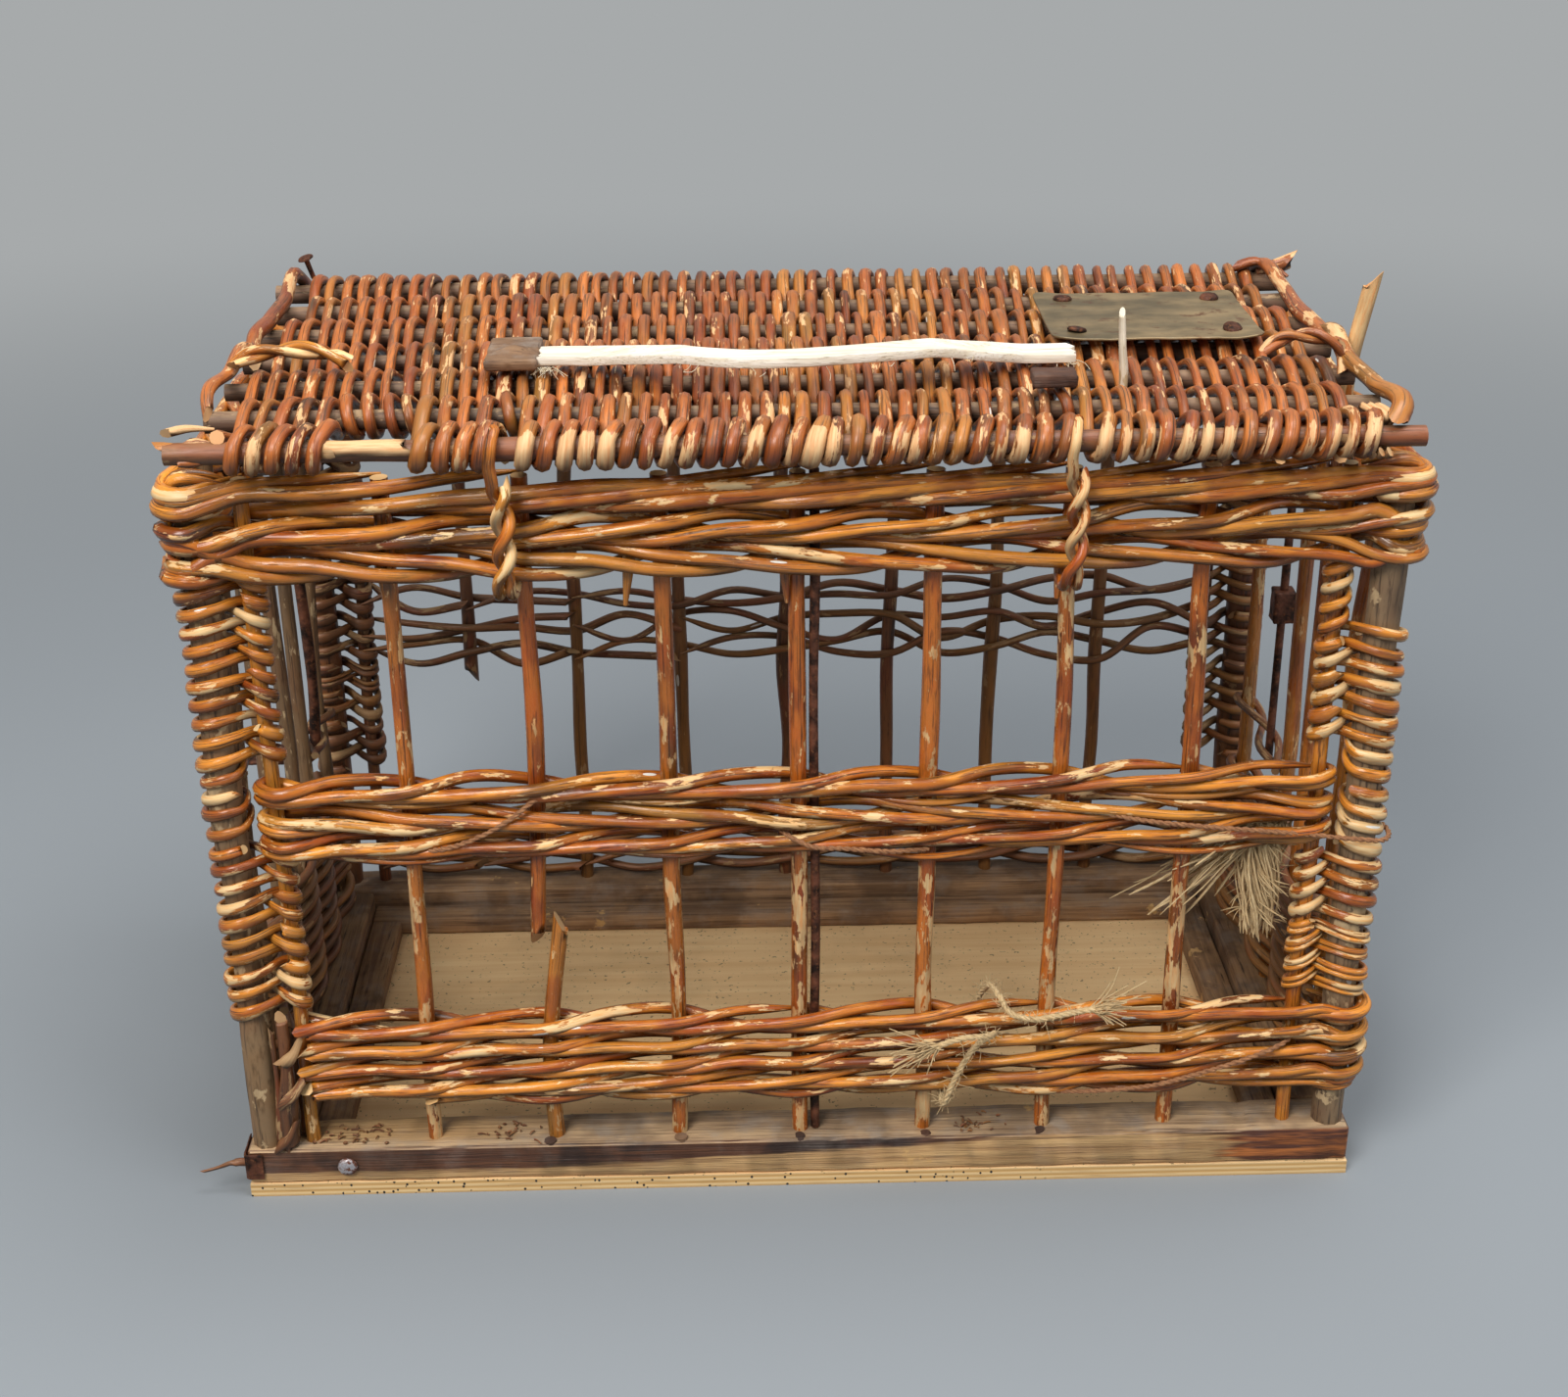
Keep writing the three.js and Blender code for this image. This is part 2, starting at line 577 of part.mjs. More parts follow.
// Height of the weave over one stick, the nearest line that passes over it, and the nearest
// gap between two lines
function seatOver(stick, from, to) {
  const place = lidWeave.getAttribute('position');
  let top = 0;
  for (let i = 0; i < place.count; i += 1) {
    const near = Math.abs(place.getY(i) - lidSticks[stick].at) < LID_STICK_RADIUS + LID_WEAVER;
    if (near && place.getX(i) > from && place.getX(i) < to) top = Math.max(top, place.getZ(i));
  }
  return top + GAP;
}
function lineOver(stick, x) {
  let nearest = Infinity;
  for (let k = stick % 2; k < LID_LINES; k += 2) {
    if (Math.abs(lineX(k) - x) < Math.abs(nearest - x)) nearest = lineX(k);
  }
  return nearest;
}
const between = (x) => Math.round(x / LID_STEP) * LID_STEP;

// Two withies bent over the ends of the lid
for (const [name, [x0, x1]] of [['lid_left_withy', WITHY.left], ['lid_right_withy', WITHY.right]]) {
  const [from, to] = [lineOver(WITHY.stick, x0), lineOver(WITHY.stick, x1)];
  const [low, high] = [from, to].map(
    (x) => seatOver(WITHY.stick, x - LID_STEP / 2, x + LID_STEP / 2) + WITHY.radius);
  const arch = [];
  for (let i = 0; i <= WITHY.steps; i += 1) {
    const share = i / WITHY.steps;
    const swell = Math.sin(share * Math.PI);
    arch.push(at(lerp(from, to, share), lidSticks[WITHY.stick].at + WITHY.bow * swell,
      lerp(low, high, share) + WITHY.rise * swell));
  }
  add(name, rod(arch, WITHY.radius, 8), 'willow', lid);
}

// Carrying strip: a split willow slat that lies flat at its ends and bows up and forward
const stripY = lidSticks[STRIP.stick].at;
const stripSeat = seatOver(STRIP.stick, STRIP.left - KEEPER.length, STRIP.right);
const stripMiddle = stripSeat + STRIP.thickness / 2;
const stripSteps = 8;
const stripPoints = [at(STRIP.left, stripY, stripMiddle)];
for (let i = 0; i <= stripSteps; i += 1) {
  const swell = Math.sin((i / stripSteps) * Math.PI);
  stripPoints.push(at(
    lerp(STRIP.left + STRIP.flatEnd, STRIP.right - STRIP.flatEnd, i / stripSteps),
    stripY - STRIP.bow * swell,
    stripMiddle + STRIP.rise * Math.min(1, 1.6 * swell)));
}
stripPoints.push(at(STRIP.right, stripY, stripMiddle));
const stripSection = [[-1, -1], [1, -1], [1, 1], [-1, 1]].map(([up, side]) => new THREE.Vector2(
  (up * STRIP.thickness) / 2, (side * STRIP.width) / 2));
add('carrying_strip', along(stripSection, stripPoints), 'peeled', lid);

// The keeper at its left end and the small block before its right end
const keeperX = STRIP.left - GAP - KEEPER.length / 2;
const keeperY = stripY + KEEPER.shift;
add('strip_keeper', joined(
  block(keeperX, keeperY, stripSeat, KEEPER.length, KEEPER.width, KEEPER.height),
  new THREE.SphereGeometry(KEEPER.bulge, 12, 8).scale(1.1, 0.8, 0.45)
    .translate(keeperX, stripY, stripSeat + KEEPER.height)), 'timber', lid);
const blockX = lineOver(BLOCK.stick, BLOCK.x);
const blockSeat = seatOver(BLOCK.stick, blockX - BLOCK.length / 2, blockX + BLOCK.length / 2);
add('strip_block', block(blockX, lidSticks[BLOCK.stick].at, blockSeat,
  BLOCK.length, BLOCK.width, BLOCK.height), 'timber', lid);

// Metal plate and its four clout nails, which stand in the gaps of the weave
const plateY = (lidSticks[PLATE.stick].at + lidSticks[PLATE.stick + 1].at) / 2;
const [pw, pd, pc] = [PLATE.width / 2, PLATE.depth / 2, PLATE.corner];
const plateSeat = Math.max(...[PLATE.stick, PLATE.stick + 1].map(
  (stick) => seatOver(stick, PLATE.x - pw, PLATE.x + pw)));
const plateShape = new THREE.Shape();
plateShape.moveTo(pw, pc - pd);
plateShape.absarc(pw - pc, pd - pc, pc, 0, Math.PI / 2);
plateShape.absarc(pc - pw, pd - pc, pc, Math.PI / 2, Math.PI);
plateShape.absarc(pc - pw, pc - pd, pc, Math.PI, 1.5 * Math.PI);
plateShape.absarc(pw - pc, pc - pd, pc, 1.5 * Math.PI, 2 * Math.PI);
const plate = new THREE.ExtrudeGeometry(plateShape, {
  depth: PLATE.thickness, bevelEnabled: false, curveSegments: 3,
}).translate(PLATE.x, plateY, plateSeat);
const plateNails = [[-1, -1], [1, -1], [-1, 1], [1, 1]].map(([sideX, sideY]) => nailShape(PLATE_NAIL)
  .translate(between(PLATE.x + sideX * (pw - PLATE.nailIn)), plateY + sideY * (pd - PLATE.nailIn),
    plateSeat + 0.8 * PLATE.thickness));
add('owner_plate', joined(plate, ...plateNails), 'plate', lid);

// A broken weaver that stands up, and a nail in the lid's rear left corner
const stubX = between(STUB.x) + STUB.off;
const stubY = STUB.y - LID_FRONT_Y;
add('lid_broken_weaver', rod([
  at(stubX, stubY, STUB.foot), at(stubX, stubY, STUB.bend), at(stubX - STUB.lean, stubY, STUB.top),
], STUB.radius, 6), 'peeled', lid);
const weaveEdge = lineX(0) - LID_WEAVER;
const cornerNailX = (weaveEdge - endWithyX + LID_END.radius) / 2;
add('lid_corner_nail', nailShape(CORNER_NAIL)
  .translate(cornerNailX, lidDepth, LID_REAR_RADIUS + GAP + CORNER_NAIL.length), 'iron', lid);

// Twisted willow loops: two strands come from under the border, twist round each other up its
// front and close in a ring round the lid's front stick
const loopFront = -(wallY + lifts(borderSticks, BORDER.radius)[2] + BORDER.radius
  + GAP + LOOP.twist + LOOP.strand);
const loopFoot = bottomOf(BORDER) - GAP - LOOP.strand;
const loopRing = LID_FRONT_RADIUS + TURN_GAP + LOOP.strand;
for (const [name, x] of [['left_hinge_loop', LOOP_X[0]], ['right_hinge_loop', LOOP_X[1]]]) {
  const steps = 12;
  const strandAt = (share, start) => {
    const angle = start + share * LOOP.turns * 2 * Math.PI;
    return at(x + LOOP.twist * Math.cos(angle), loopFront + LOOP.twist * Math.sin(angle),
      lerp(loopFoot + LOOP.foot, lidZ - loopRing - LOOP.twist, share));
  };
  const strand = (side) => {
    const start = side > 0 ? 0 : Math.PI;
    const points = [
      at(x + side * LOOP.twist, -(wallY + STAKE_RADIUS + GAP), loopFoot),
      at(x + side * LOOP.twist, loopFront + LOOP.strand, loopFoot),
    ];
    for (let i = 0; i <= steps; i += 1) points.push(strandAt(i / steps, start));
    return points;
  };
  const over = [];
  const ringSteps = 8;
  const [from, to] = [degToRad(215), degToRad(-80)];
  const reach = loopRing / Math.cos((from - to) / ringSteps / 2);
  for (let i = 0; i <= ringSteps; i += 1) {
    const angle = lerp(from, to, i / ringSteps);
    over.push(at(x + lerp(-LOOP.twist, LOOP.twist, i / ringSteps),
      LID_FRONT_Y + reach * Math.cos(angle), lidZ + reach * Math.sin(angle)));
  }
  add(name, rod([...strand(1), ...over, ...strand(-1).reverse()], LOOP.strand, 6), 'willow');
}

// Iron strap bent round the front rail's left corner
const strapX = -WIDTH / 2 - GAP;
const strapY = -DEPTH / 2 - GAP;
const strapOutline = new THREE.Shape([
  new THREE.Vector2(strapX + STRAP.front, strapY),
  new THREE.Vector2(strapX, strapY),
  new THREE.Vector2(strapX, strapY + STRAP.side),
  new THREE.Vector2(strapX - STRAP.thickness, strapY + STRAP.side),
  new THREE.Vector2(strapX - STRAP.thickness, strapY - STRAP.thickness),
  new THREE.Vector2(strapX + STRAP.front, strapY - STRAP.thickness),
]);
add('corner_strap', new THREE.ExtrudeGeometry(strapOutline, { depth: STRAP.height, bevelEnabled: false })
  .translate(0, 0, STRAP.z), 'iron');

// Jute twine tied round the front foot band, with its two ends hanging loose
const twine = [
  [153, -172, 121], [136, -171, 117], [120, -167, 112], [110, -160, 112], [105, -151, 117],
  [102, -141, 117], [98, -131, 106], [92, -127.5, 84], [84, -126.5, 60], [79, -134, 54.2],
  [76, -150, 54.2], [76, -161, 56], [83, -160.5, 74], [94, -159, 92], [102, -163, 101],
  [97, -170, 104], [84, -173, 105], [70, -173, 100],
].map(([x, y, z]) => at(x, y, z));
add('twine_tie', rod(twine, TWINE_RADIUS, 8), 'jute');

export default basket;
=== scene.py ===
# %% [markdown]
# # A basket for carrying pigeons
# The real basket is woven from willow on a timber frame that is nailed to a plywood board.
# Its lid turns on its own front stick, in two twisted loops. The solids of the basket come
# first, as a frame that stays where it is, and everything here is modelled in metres over
# them. A maker's drawing of such a thing is in millimetres, so the helpers take millimetres.

import math

import bmesh
import bpy
import numpy as np
from mathutils import Matrix, Vector, noise


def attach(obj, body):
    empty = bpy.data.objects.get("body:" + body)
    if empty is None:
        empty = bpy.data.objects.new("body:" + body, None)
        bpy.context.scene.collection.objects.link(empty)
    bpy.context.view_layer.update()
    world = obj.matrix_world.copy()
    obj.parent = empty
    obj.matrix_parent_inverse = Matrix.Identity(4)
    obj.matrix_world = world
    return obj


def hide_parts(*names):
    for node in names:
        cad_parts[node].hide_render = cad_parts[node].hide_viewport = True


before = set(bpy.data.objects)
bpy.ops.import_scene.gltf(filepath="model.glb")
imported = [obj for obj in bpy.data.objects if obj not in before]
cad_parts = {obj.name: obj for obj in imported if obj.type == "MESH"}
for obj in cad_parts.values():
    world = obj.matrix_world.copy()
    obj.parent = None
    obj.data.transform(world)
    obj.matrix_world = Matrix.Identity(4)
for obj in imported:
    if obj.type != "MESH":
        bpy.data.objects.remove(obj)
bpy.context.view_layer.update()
MM = 0.001
dice = np.random.default_rng(7)

# %% [markdown]
# ## Camera
# The photograph was taken from the front and from above, with the basket turned a little.
# A camera can be turned by hand, or built from the line that it looks along. The second way
# is exact, so the three axes of the camera are worked out from its yaw and pitch.

# %% Camera
CAMERA_PLACE = (-0.030, -1.148, 0.754)
CAMERA_YAW, CAMERA_PITCH, CAMERA_ROLL = (math.radians(turn) for turn in (-1.3, 24.85, -0.45))
CAMERA_LENS = 51.0

ahead = Vector((-math.sin(CAMERA_YAW) * math.cos(CAMERA_PITCH),
                math.cos(CAMERA_YAW) * math.cos(CAMERA_PITCH), -math.sin(CAMERA_PITCH)))
right = ahead.cross(Vector((0, 0, 1))).normalized()
turned = Matrix((right, right.cross(ahead), -ahead)).transposed()
camera_data = bpy.data.cameras.new("camera")
camera_data.lens = CAMERA_LENS
camera = bpy.data.objects.new("camera", camera_data)
bpy.context.scene.collection.objects.link(camera)
camera.matrix_world = (Matrix.Translation(CAMERA_PLACE) @ turned.to_4x4()
                       @ Matrix.Rotation(CAMERA_ROLL, 4, "Z"))
bpy.context.scene.camera = camera
bpy.context.scene.view_settings.view_transform = "Standard"
print("camera looks along", [round(part, 3) for part in ahead])

# %% [markdown]
# ## Rods
# Almost all of the basket is round rods that bend: willow, twine and wire. Blender's own
# bevelled curve gives a round rod, but it can't hold the length of bark along the rod or a
# shade of its own for each rod, and the bark patterns need both. So each rod is swept here:
# a smooth line through a few places, a ring of points round it at every step, and a map that
# runs once round the rod and in metres along it. All the rods of one band are one mesh.

# %% A smooth line through a few places
def unit(vectors):
    return vectors / np.linalg.norm(vectors, axis=-1, keepdims=True)


def lengths_along(line):
    """How far along the line each of its points lies."""
    return np.concatenate([[0], np.cumsum(np.linalg.norm(np.diff(line, axis=0), axis=1))])


def smooth_line(places, step):
    """Points about a step apart on a smooth line through the places."""
    p = np.asarray(places, float)
    gap = np.linalg.norm(np.diff(p, axis=0), axis=1)[:, None]
    slope = np.diff(p, axis=0) / gap
    tangent = np.vstack([slope[:1], (slope[:-1] * gap[1:] + slope[1:] * gap[:-1])
                         / (gap[1:] + gap[:-1]), slope[-1:]])
    line, number = [], []
    for i in range(len(p) - 1):
        t = np.linspace(0, 1, max(2, math.ceil(gap[i, 0] / step)), endpoint=False)[:, None]
        number.append(i + t[:, 0])
        line.append((2 * t**3 - 3 * t**2 + 1) * p[i] + (t**3 - 2 * t**2 + t) * gap[i] * tangent[i]
                    + (3 * t**2 - 2 * t**3) * p[i + 1] + (t**3 - t**2) * gap[i] * tangent[i + 1])
    return np.vstack(line + [p[-1:]]), np.concatenate(number + [[len(p) - 1]])


def ripple(count, size):
    """A smooth random wave of about the size given, with a turn every ten steps or so."""
    knots = dice.normal(0, 1, max(3, count // 10 + 3))
    return size * np.interp(np.linspace(0, len(knots) - 1, count), np.arange(len(knots)), knots)


def along_rod(values, share, number, places):
    """One value for the whole rod, one for each place, or a few spread evenly over it."""
    if np.ndim(values) == 0:
        return np.full(len(share), float(values))
    if len(values) == places:
        return np.interp(number, np.arange(places), values)
    return np.interp(share, np.linspace(0, 1, len(values)), values)


def worn(usual, spread, count):
    """How far the bark has gone at a few spots along a rod: 0 is all there."""
    return [max(0.0, dice.normal(usual, spread)) for _ in range(count)]


# %% A bundle of rods as one mesh
SLANTED, POINTED = ("slant", "slant"), ("cut", "point")
POINT_SIZE, POINT_RADII, SLANT = 0.22, 7, 1.6


class Rods:
    """Swept rods that end up in one mesh. Places and radii are in millimetres."""

    def __init__(self):
        self.points, self.quads, self.fans, self.uv, self.fan_uv = [], [], [], [], []
        self.rod, self.peel, self.count = [], [], 0

    def add(self, places, radius, sides=8, step=4.0, tips=("cut", "cut"), side_way=(0, 0, 1),
            shade=None, peeled=0.0, flat=1.0, rough=0.04):
        line, number = smooth_line(places, step)
        count = len(line)
        way = unit(np.gradient(line, axis=0))
        side_way = np.asarray(side_way, float)
        first = unit(side_way - way * (way @ side_way)[:, None])
        second = np.cross(way, first)
        length = lengths_along(line)
        share = length / length[-1]
        size = along_rod(radius, share, number, len(places)) * (1 + ripple(count, rough))
        for tip, left in zip(tips, (length, length[-1] - length)):
            if tip == "point":
                taper = POINT_SIZE + (1 - POINT_SIZE) * left / (POINT_RADII * size.mean())
                size = size * np.clip(taper, 0, 1) ** 0.75
        turn = np.arange(sides) / sides * 2 * np.pi
        lump = 1 + rough * np.sin(2 * turn + dice.uniform(0, 6))
        shift = np.zeros((count, sides))
        for tip, at, sign in zip(tips, (0, -1), (-1, 1)):
            if tip == "slant":
                shift[at] = sign * size[at] * SLANT * (np.cos(turn + dice.uniform(0, 6)) - 0.4)
        rings = (line[:, None, :] + size[:, None, None] * lump[None, :, None]
                 * (np.cos(turn)[None, :, None] * first[:, None, :] * flat
                    + np.sin(turn)[None, :, None] * second[:, None, :])
                 + shift[:, :, None] * way[:, None, :])
        grid = self.count + np.arange(count * sides).reshape(count, sides)
        a, b = grid[:-1], grid[1:]
        u = np.arange(sides + 1) / sides
        v = length * MM + dice.uniform(0, 9)
        around = np.stack([u[:-1], u[1:], u[1:], u[:-1]], -1)[None]
        along = np.stack([v[:-1], v[:-1], v[1:], v[1:]], -1)[:, None]
        shade = dice.uniform(0, 1) if shade is None else shade
        self.points.append(rings.reshape(-1, 3))
        self.quads.append(np.stack([a, np.roll(a, -1, 1), np.roll(b, -1, 1), b], -1).reshape(-1, 4))
        self.uv.append(np.stack(np.broadcast_arrays(around, along), -1).reshape(-1, 2))
        self.rod.append(np.full((count + 2) * sides + 2, shade))
        self.peel.append(np.repeat(along_rod(peeled, share, number, len(places)), sides))
        self.peel.append(np.ones(2 * sides + 2))
        self.count += count * sides
        for at in (0, -1):
            self.points.append(np.vstack([rings[at], rings[at].mean(0)[None]]))
            ring = self.count + np.arange(sides)
            pair = (ring, np.roll(ring, -1)) if at else (np.roll(ring, -1), ring)
            self.fans.append(np.stack([*pair, np.full(sides, self.count + sides)], -1))
            self.fan_uv.append(np.tile([[0.3, v[at]]], (sides * 3, 1)))
            self.count += sides + 1

    def make(self, name, material, body, replaced=()):
        quads, fans = np.vstack(self.quads), np.vstack(self.fans)
        corners = np.concatenate([quads.ravel(), fans.ravel()])
        starts = np.concatenate([np.arange(len(quads)) * 4,
                                 len(quads) * 4 + np.arange(len(fans)) * 3])
        mesh = bpy.data.meshes.new(name)
        mesh.vertices.add(self.count)
        mesh.vertices.foreach_set("co", (np.vstack(self.points) * MM).ravel())
        mesh.loops.add(len(corners))
        mesh.loops.foreach_set("vertex_index", corners)
        mesh.polygons.add(len(starts))
        mesh.polygons.foreach_set("loop_start", starts)
        mesh.update(calc_edges=True)
        mesh.uv_layers.new(name="along").data.foreach_set(
            "uv", np.vstack(self.uv + self.fan_uv).ravel())
        for label, values in (("rod", self.rod), ("peel", self.peel)):
            mesh.attributes.new(label, "FLOAT", "POINT").data.foreach_set(
                "value", np.concatenate(values))
        mesh.polygons.foreach_set("use_smooth", np.ones(len(starts), bool))
        mesh.validate()
        piece = bpy.data.objects.new(name, mesh)
        bpy.context.scene.collection.objects.link(piece)
        return settle(piece, material, body, replaced)


def settle(piece, material, body, replaced=()):
    """Gives a finished piece its material and its body, and what it stands for."""
    piece.data.materials.append(material)
    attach(piece, body)
    if replaced:
        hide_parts(*replaced)
    print(piece.name, "on", body, "faces:", len(piece.data.polygons))
    return piece


# %% [markdown]
# ## Finishes
# Nothing here is painted with a picture. Each finish is a small net of nodes that makes its
# pattern from the piece's own place, or from the map that runs along a rod. The parts of
# that net that several finishes share are node groups, which are built once and get other
# values in each finish.

# %% Short ways to build nodes
def colour(code):
    """A web colour as the linear values that nodes take."""
    parts = [int(code[i:i + 2], 16) / 255 for i in (1, 3, 5)]
    return (*(p / 12.92 if p < 0.04045 else ((p + 0.055) / 1.055) ** 2.4 for p in parts), 1)


class Net:
    """A net of nodes. What a node is given is a number, a web colour or another's output."""

    def __init__(self, tree):
        self.tree = tree

    def give(self, socket, value):
        if isinstance(value, bpy.types.NodeSocket):
            self.tree.links.new(value, socket)
        else:
            socket.default_value = colour(value) if isinstance(value, str) else value

    def put(self, kind, inputs=None, **settings):
        made = self.tree.nodes.new("ShaderNode" + kind)
        for name, value in settings.items():
            setattr(made, name, value)
        for name, value in (inputs or {}).items():
            self.give(made.inputs[name], value)
        return made.outputs

    def calc(self, operation, *values):
        return self.put("Math", dict(enumerate(values)), operation=operation)[0]

    def plus(self, *values, operation="ADD"):
        total = values[0]
        for value in values[1:]:
            total = self.calc(operation, total, value)
        return total

    def times(self, *values):
        return self.plus(*values, operation="MULTIPLY")

    def mix(self, share, a, b):
        return self.put("Mix", {0: share, 6: a, 7: b}, data_type="RGBA")[2]

    def over(self, tone, other, *shares):
        """A tone with another over it, which shows by the product of the shares."""
        return self.mix(self.times(*shares), tone, other)

    def spread(self, value, low, high, to_low=0.0, to_high=1.0, kind="LINEAR"):
        return self.put("MapRange", {0: value, 1: low, 2: high, 3: to_low, 4: to_high},
                        interpolation_type=kind)[0]

    def soft(self, value, low, high):
        return self.spread(value, low, high, kind="SMOOTHSTEP")

    def cloud(self, place, scale, detail=2.0, roughness=0.5):
        """Noise of one scale, or with three numbers of another scale on each axis."""
        if isinstance(scale, tuple):
            place, scale = self.put("Mapping", {"Vector": place, "Scale": scale})[0], 1.0
        return self.put("TexNoise", {"Vector": place, "Scale": scale, "Detail": detail,
                                     "Roughness": roughness})["Fac"]

    def parts(self, vector):
        return self.put("SeparateXYZ", {0: vector})

    def joined(self, *values):
        return self.put("CombineXYZ", dict(enumerate(values)))[0]

    def here(self):
        return self.put("TexCoord")["Object"]

    def facing_up(self):
        return self.parts(self.put("NewGeometry")["Normal"])[2]


def new_group(name, inputs):
    """A node group with these inputs, which gives a colour, a roughness and a height."""
    tree = bpy.data.node_groups.new(name, "ShaderNodeTree")
    for label, value in inputs.items():
        kind = {str: "Color", tuple: "Vector", float: "Float"}[type(value)]
        socket = tree.interface.new_socket(label, in_out="INPUT", socket_type="NodeSocket" + kind)
        socket.default_value = colour(value) if kind == "Color" else value
    for label, kind in (("Colour", "Color"), ("Roughness", "Float"), ("Height", "Float")):
        tree.interface.new_socket(label, in_out="OUTPUT", socket_type="NodeSocket" + kind)
    return Net(tree), tree.nodes.new("NodeGroupInput").outputs, tree.nodes.new("NodeGroupOutput").inputs


def new_material(name):
    made = bpy.data.materials.new(name)
    made.use_nodes = True
    return made, Net(made.node_tree)


def dress(net, tone, roughness, height, strength, depth, metallic=0.0):
    """Leads a colour, a roughness and a bump of some depth to a material's surface."""
    surface = net.tree.nodes["Principled BSDF"].inputs
    bump = net.put("Bump", {"Height": height, "Strength": strength, "Distance": depth})[0]
    for label, value in (("Base Color", tone), ("Roughness", roughness), ("Metallic", metallic),
                         ("Normal", bump)):
        net.give(surface[label], value)


# %% [markdown]
# ### Bark
# Willow that is woven with its bark on goes orange-brown under old varnish. It has fine dark
# streaks along the rod, and where it has rubbed, the bark is gone in long patches and the
# pale wood shows. The pattern lives on the rod, so it needs the rod's own map. The map is
# rolled up into a tube first, so that there is no seam along the rod.

# %% Bark group
# One input of this group sets how strongly painted shade darkens the lower sides of the rods.
net, given, out = new_group("bark", dict(
    Light="#b8692a", Deep="#6e2f12", Dark="#2e1a10", Wood="#d9b37c", Peeled=0.35, Grime=0.4,
    Gloss=0.36, PaintedUnderShade=0.92, Gold=0.5, Bloom=0.0))
bark = net.tree
u, v = net.parts(net.put("UVMap", uv_map="along")[0])[:2]
rod_shade = net.put("Attribute", attribute_name="rod")["Fac"]
bared = net.put("Attribute", attribute_name="peel")["Fac"]
angle = net.times(u, 2 * math.pi)
tube = net.put("VectorMath", {
    0: net.joined(net.calc("COSINE", angle), net.calc("SINE", angle), net.times(v, 60.0)),
    1: net.joined(net.times(rod_shade, 37.0), net.times(rod_shade, 91.0))}, operation="ADD")[0]
streak = net.cloud(tube, (2.6, 2.6, 1.2), 4.0, 0.6)
blotch = net.cloud(tube, (0.7, 0.7, 0.9), 3.0, 0.55)
slow = net.cloud(tube, (0.3, 0.3, 0.22))
crack = net.cloud(tube, (4.5, 4.5, 0.35), 3.0, 0.6)
red_run = net.cloud(tube, (0.25, 0.25, 0.4), 3.0)
tone = net.mix(net.plus(net.times(rod_shade, 0.6), net.spread(blotch, 0.3, 0.7, -0.1, 0.55)),
               given["Light"], given["Deep"])
tone = net.over(tone, given["Dark"], net.soft(streak, 0.5, 0.72), given["Grime"])
tone = net.over(tone, given["Dark"], net.soft(slow, 0.52, 0.72), given["Grime"])
golden = net.spread(net.calc("FRACT", net.times(rod_shade, 7.3)), 0.45, 0.95)
tone = net.over(tone, "#c98e3c", golden, given["Gold"])
tone = net.over(tone, "#8a3511", net.soft(red_run, 0.5, 0.62), given["Gold"], 1.1)
tone = net.over(tone, given["Dark"], net.spread(crack, 0.57, 0.66), given["Grime"])
bare_edge = net.plus(net.times(net.cloud(tube, (0.75, 0.75, 0.95), 5.0, 0.62), 0.75),
                     net.times(slow, 0.25), net.times(given["Peeled"], 0.16), net.times(bared, 0.4))
bare = net.spread(bare_edge, 0.60, 0.625)
wood_tone = net.over(given["Wood"], given["Light"], net.spread(streak, 0.42, 0.7), 0.65)
fleck = net.put("TexVoronoi", {"Vector": tube, "Scale": 0.34})
few = net.calc("GREATER_THAN", net.put("SeparateColor", {0: fleck["Color"]})[0], 0.86)
tone = net.over(net.mix(bare, tone, wood_tone), "#e9e4da",
                net.calc("LESS_THAN", fleck["Distance"], 0.09), few)
up = net.parts(net.put("TexCoord")["Normal"])[2]
# Painted shade: where a rod faces down it is darkened towards the Dark tone, as if shade fell on its lower
# side, with a little noise in the edge of it.
painted_underside_shade = net.spread(net.plus(up, net.spread(blotch, 0.3, 0.7, -0.25, 0.25)), 0.3, -0.75)
tone = net.over(tone, given["Dark"], painted_underside_shade, given["PaintedUnderShade"])
tone = net.over(tone, "#bfa07a", net.spread(up, 0.2, 0.9), net.spread(streak, 0.35, 0.62), given["Bloom"])
net.give(out["Colour"], tone)
net.give(out["Roughness"], net.plus(given["Gloss"], net.times(bare, 0.22),
                                    net.spread(streak, 0.3, 0.7, -0.08, 0.16)))
net.give(out["Height"], net.plus(net.times(bare, -0.5), net.times(streak, 0.6),
                                 net.times(net.spread(crack, 0.55, 0.68), -0.5)))


def bark_finish(name, light, deep, dark, wood, peeled, grime, gloss, gold=0.5, bloom=0.0):
    made, net = new_material(name)
    rod = net.put("Group", dict(Light=light, Deep=deep, Dark=dark, Wood=wood, Peeled=peeled, Grime=grime,
                                Gloss=gloss, Gold=gold, Bloom=bloom), node_tree=bark)
    dress(net, rod["Colour"], rod["Roughness"], rod["Height"], 0.5, 0.0006)
    return made


# The old willow is the grey-brown of old unvarnished rods, and is made darker still as painted shade,
# because it covers mostly the rear, inner and end pieces.
varnished, bare_willow, lid_willow, old_willow, grey_willow, dusty_willow, peeled_willow = (
    bark_finish(*row) for row in (
        ("varnished_willow", "#f59f3a", "#ad5216", "#1a0a05", "#f0cd96", 0.0, 0.8, 0.22),
        ("rubbed_willow", "#e4842e", "#a34713", "#1d0b05", "#e4bf88", 0.2, 0.75, 0.25),
        ("lid_willow", "#cb7533", "#7d3815", "#1e0e08", "#e3b985", 0.0, 0.85, 0.33, 0.4, 0.12),
        ("old_willow", "#955f39", "#623819", "#1f140d", "#b08c60", 0.1, 0.7, 0.45, 0.3, 0.15),
        ("grey_willow", "#a08462", "#6a4f36", "#2c1d13", "#c9ac82", 0.2, 0.7, 0.58, 0.1, 0.3),
        ("dusty_willow", "#84624a", "#583c2a", "#1d120c", "#a68a68", 0.05, 0.7, 0.62, 0.0, 0.4),
        ("peeled_willow", "#dccba6", "#bfa478", "#7a5f3e", "#ede4cf", 0.7, 0.25, 0.6, 0.0)))

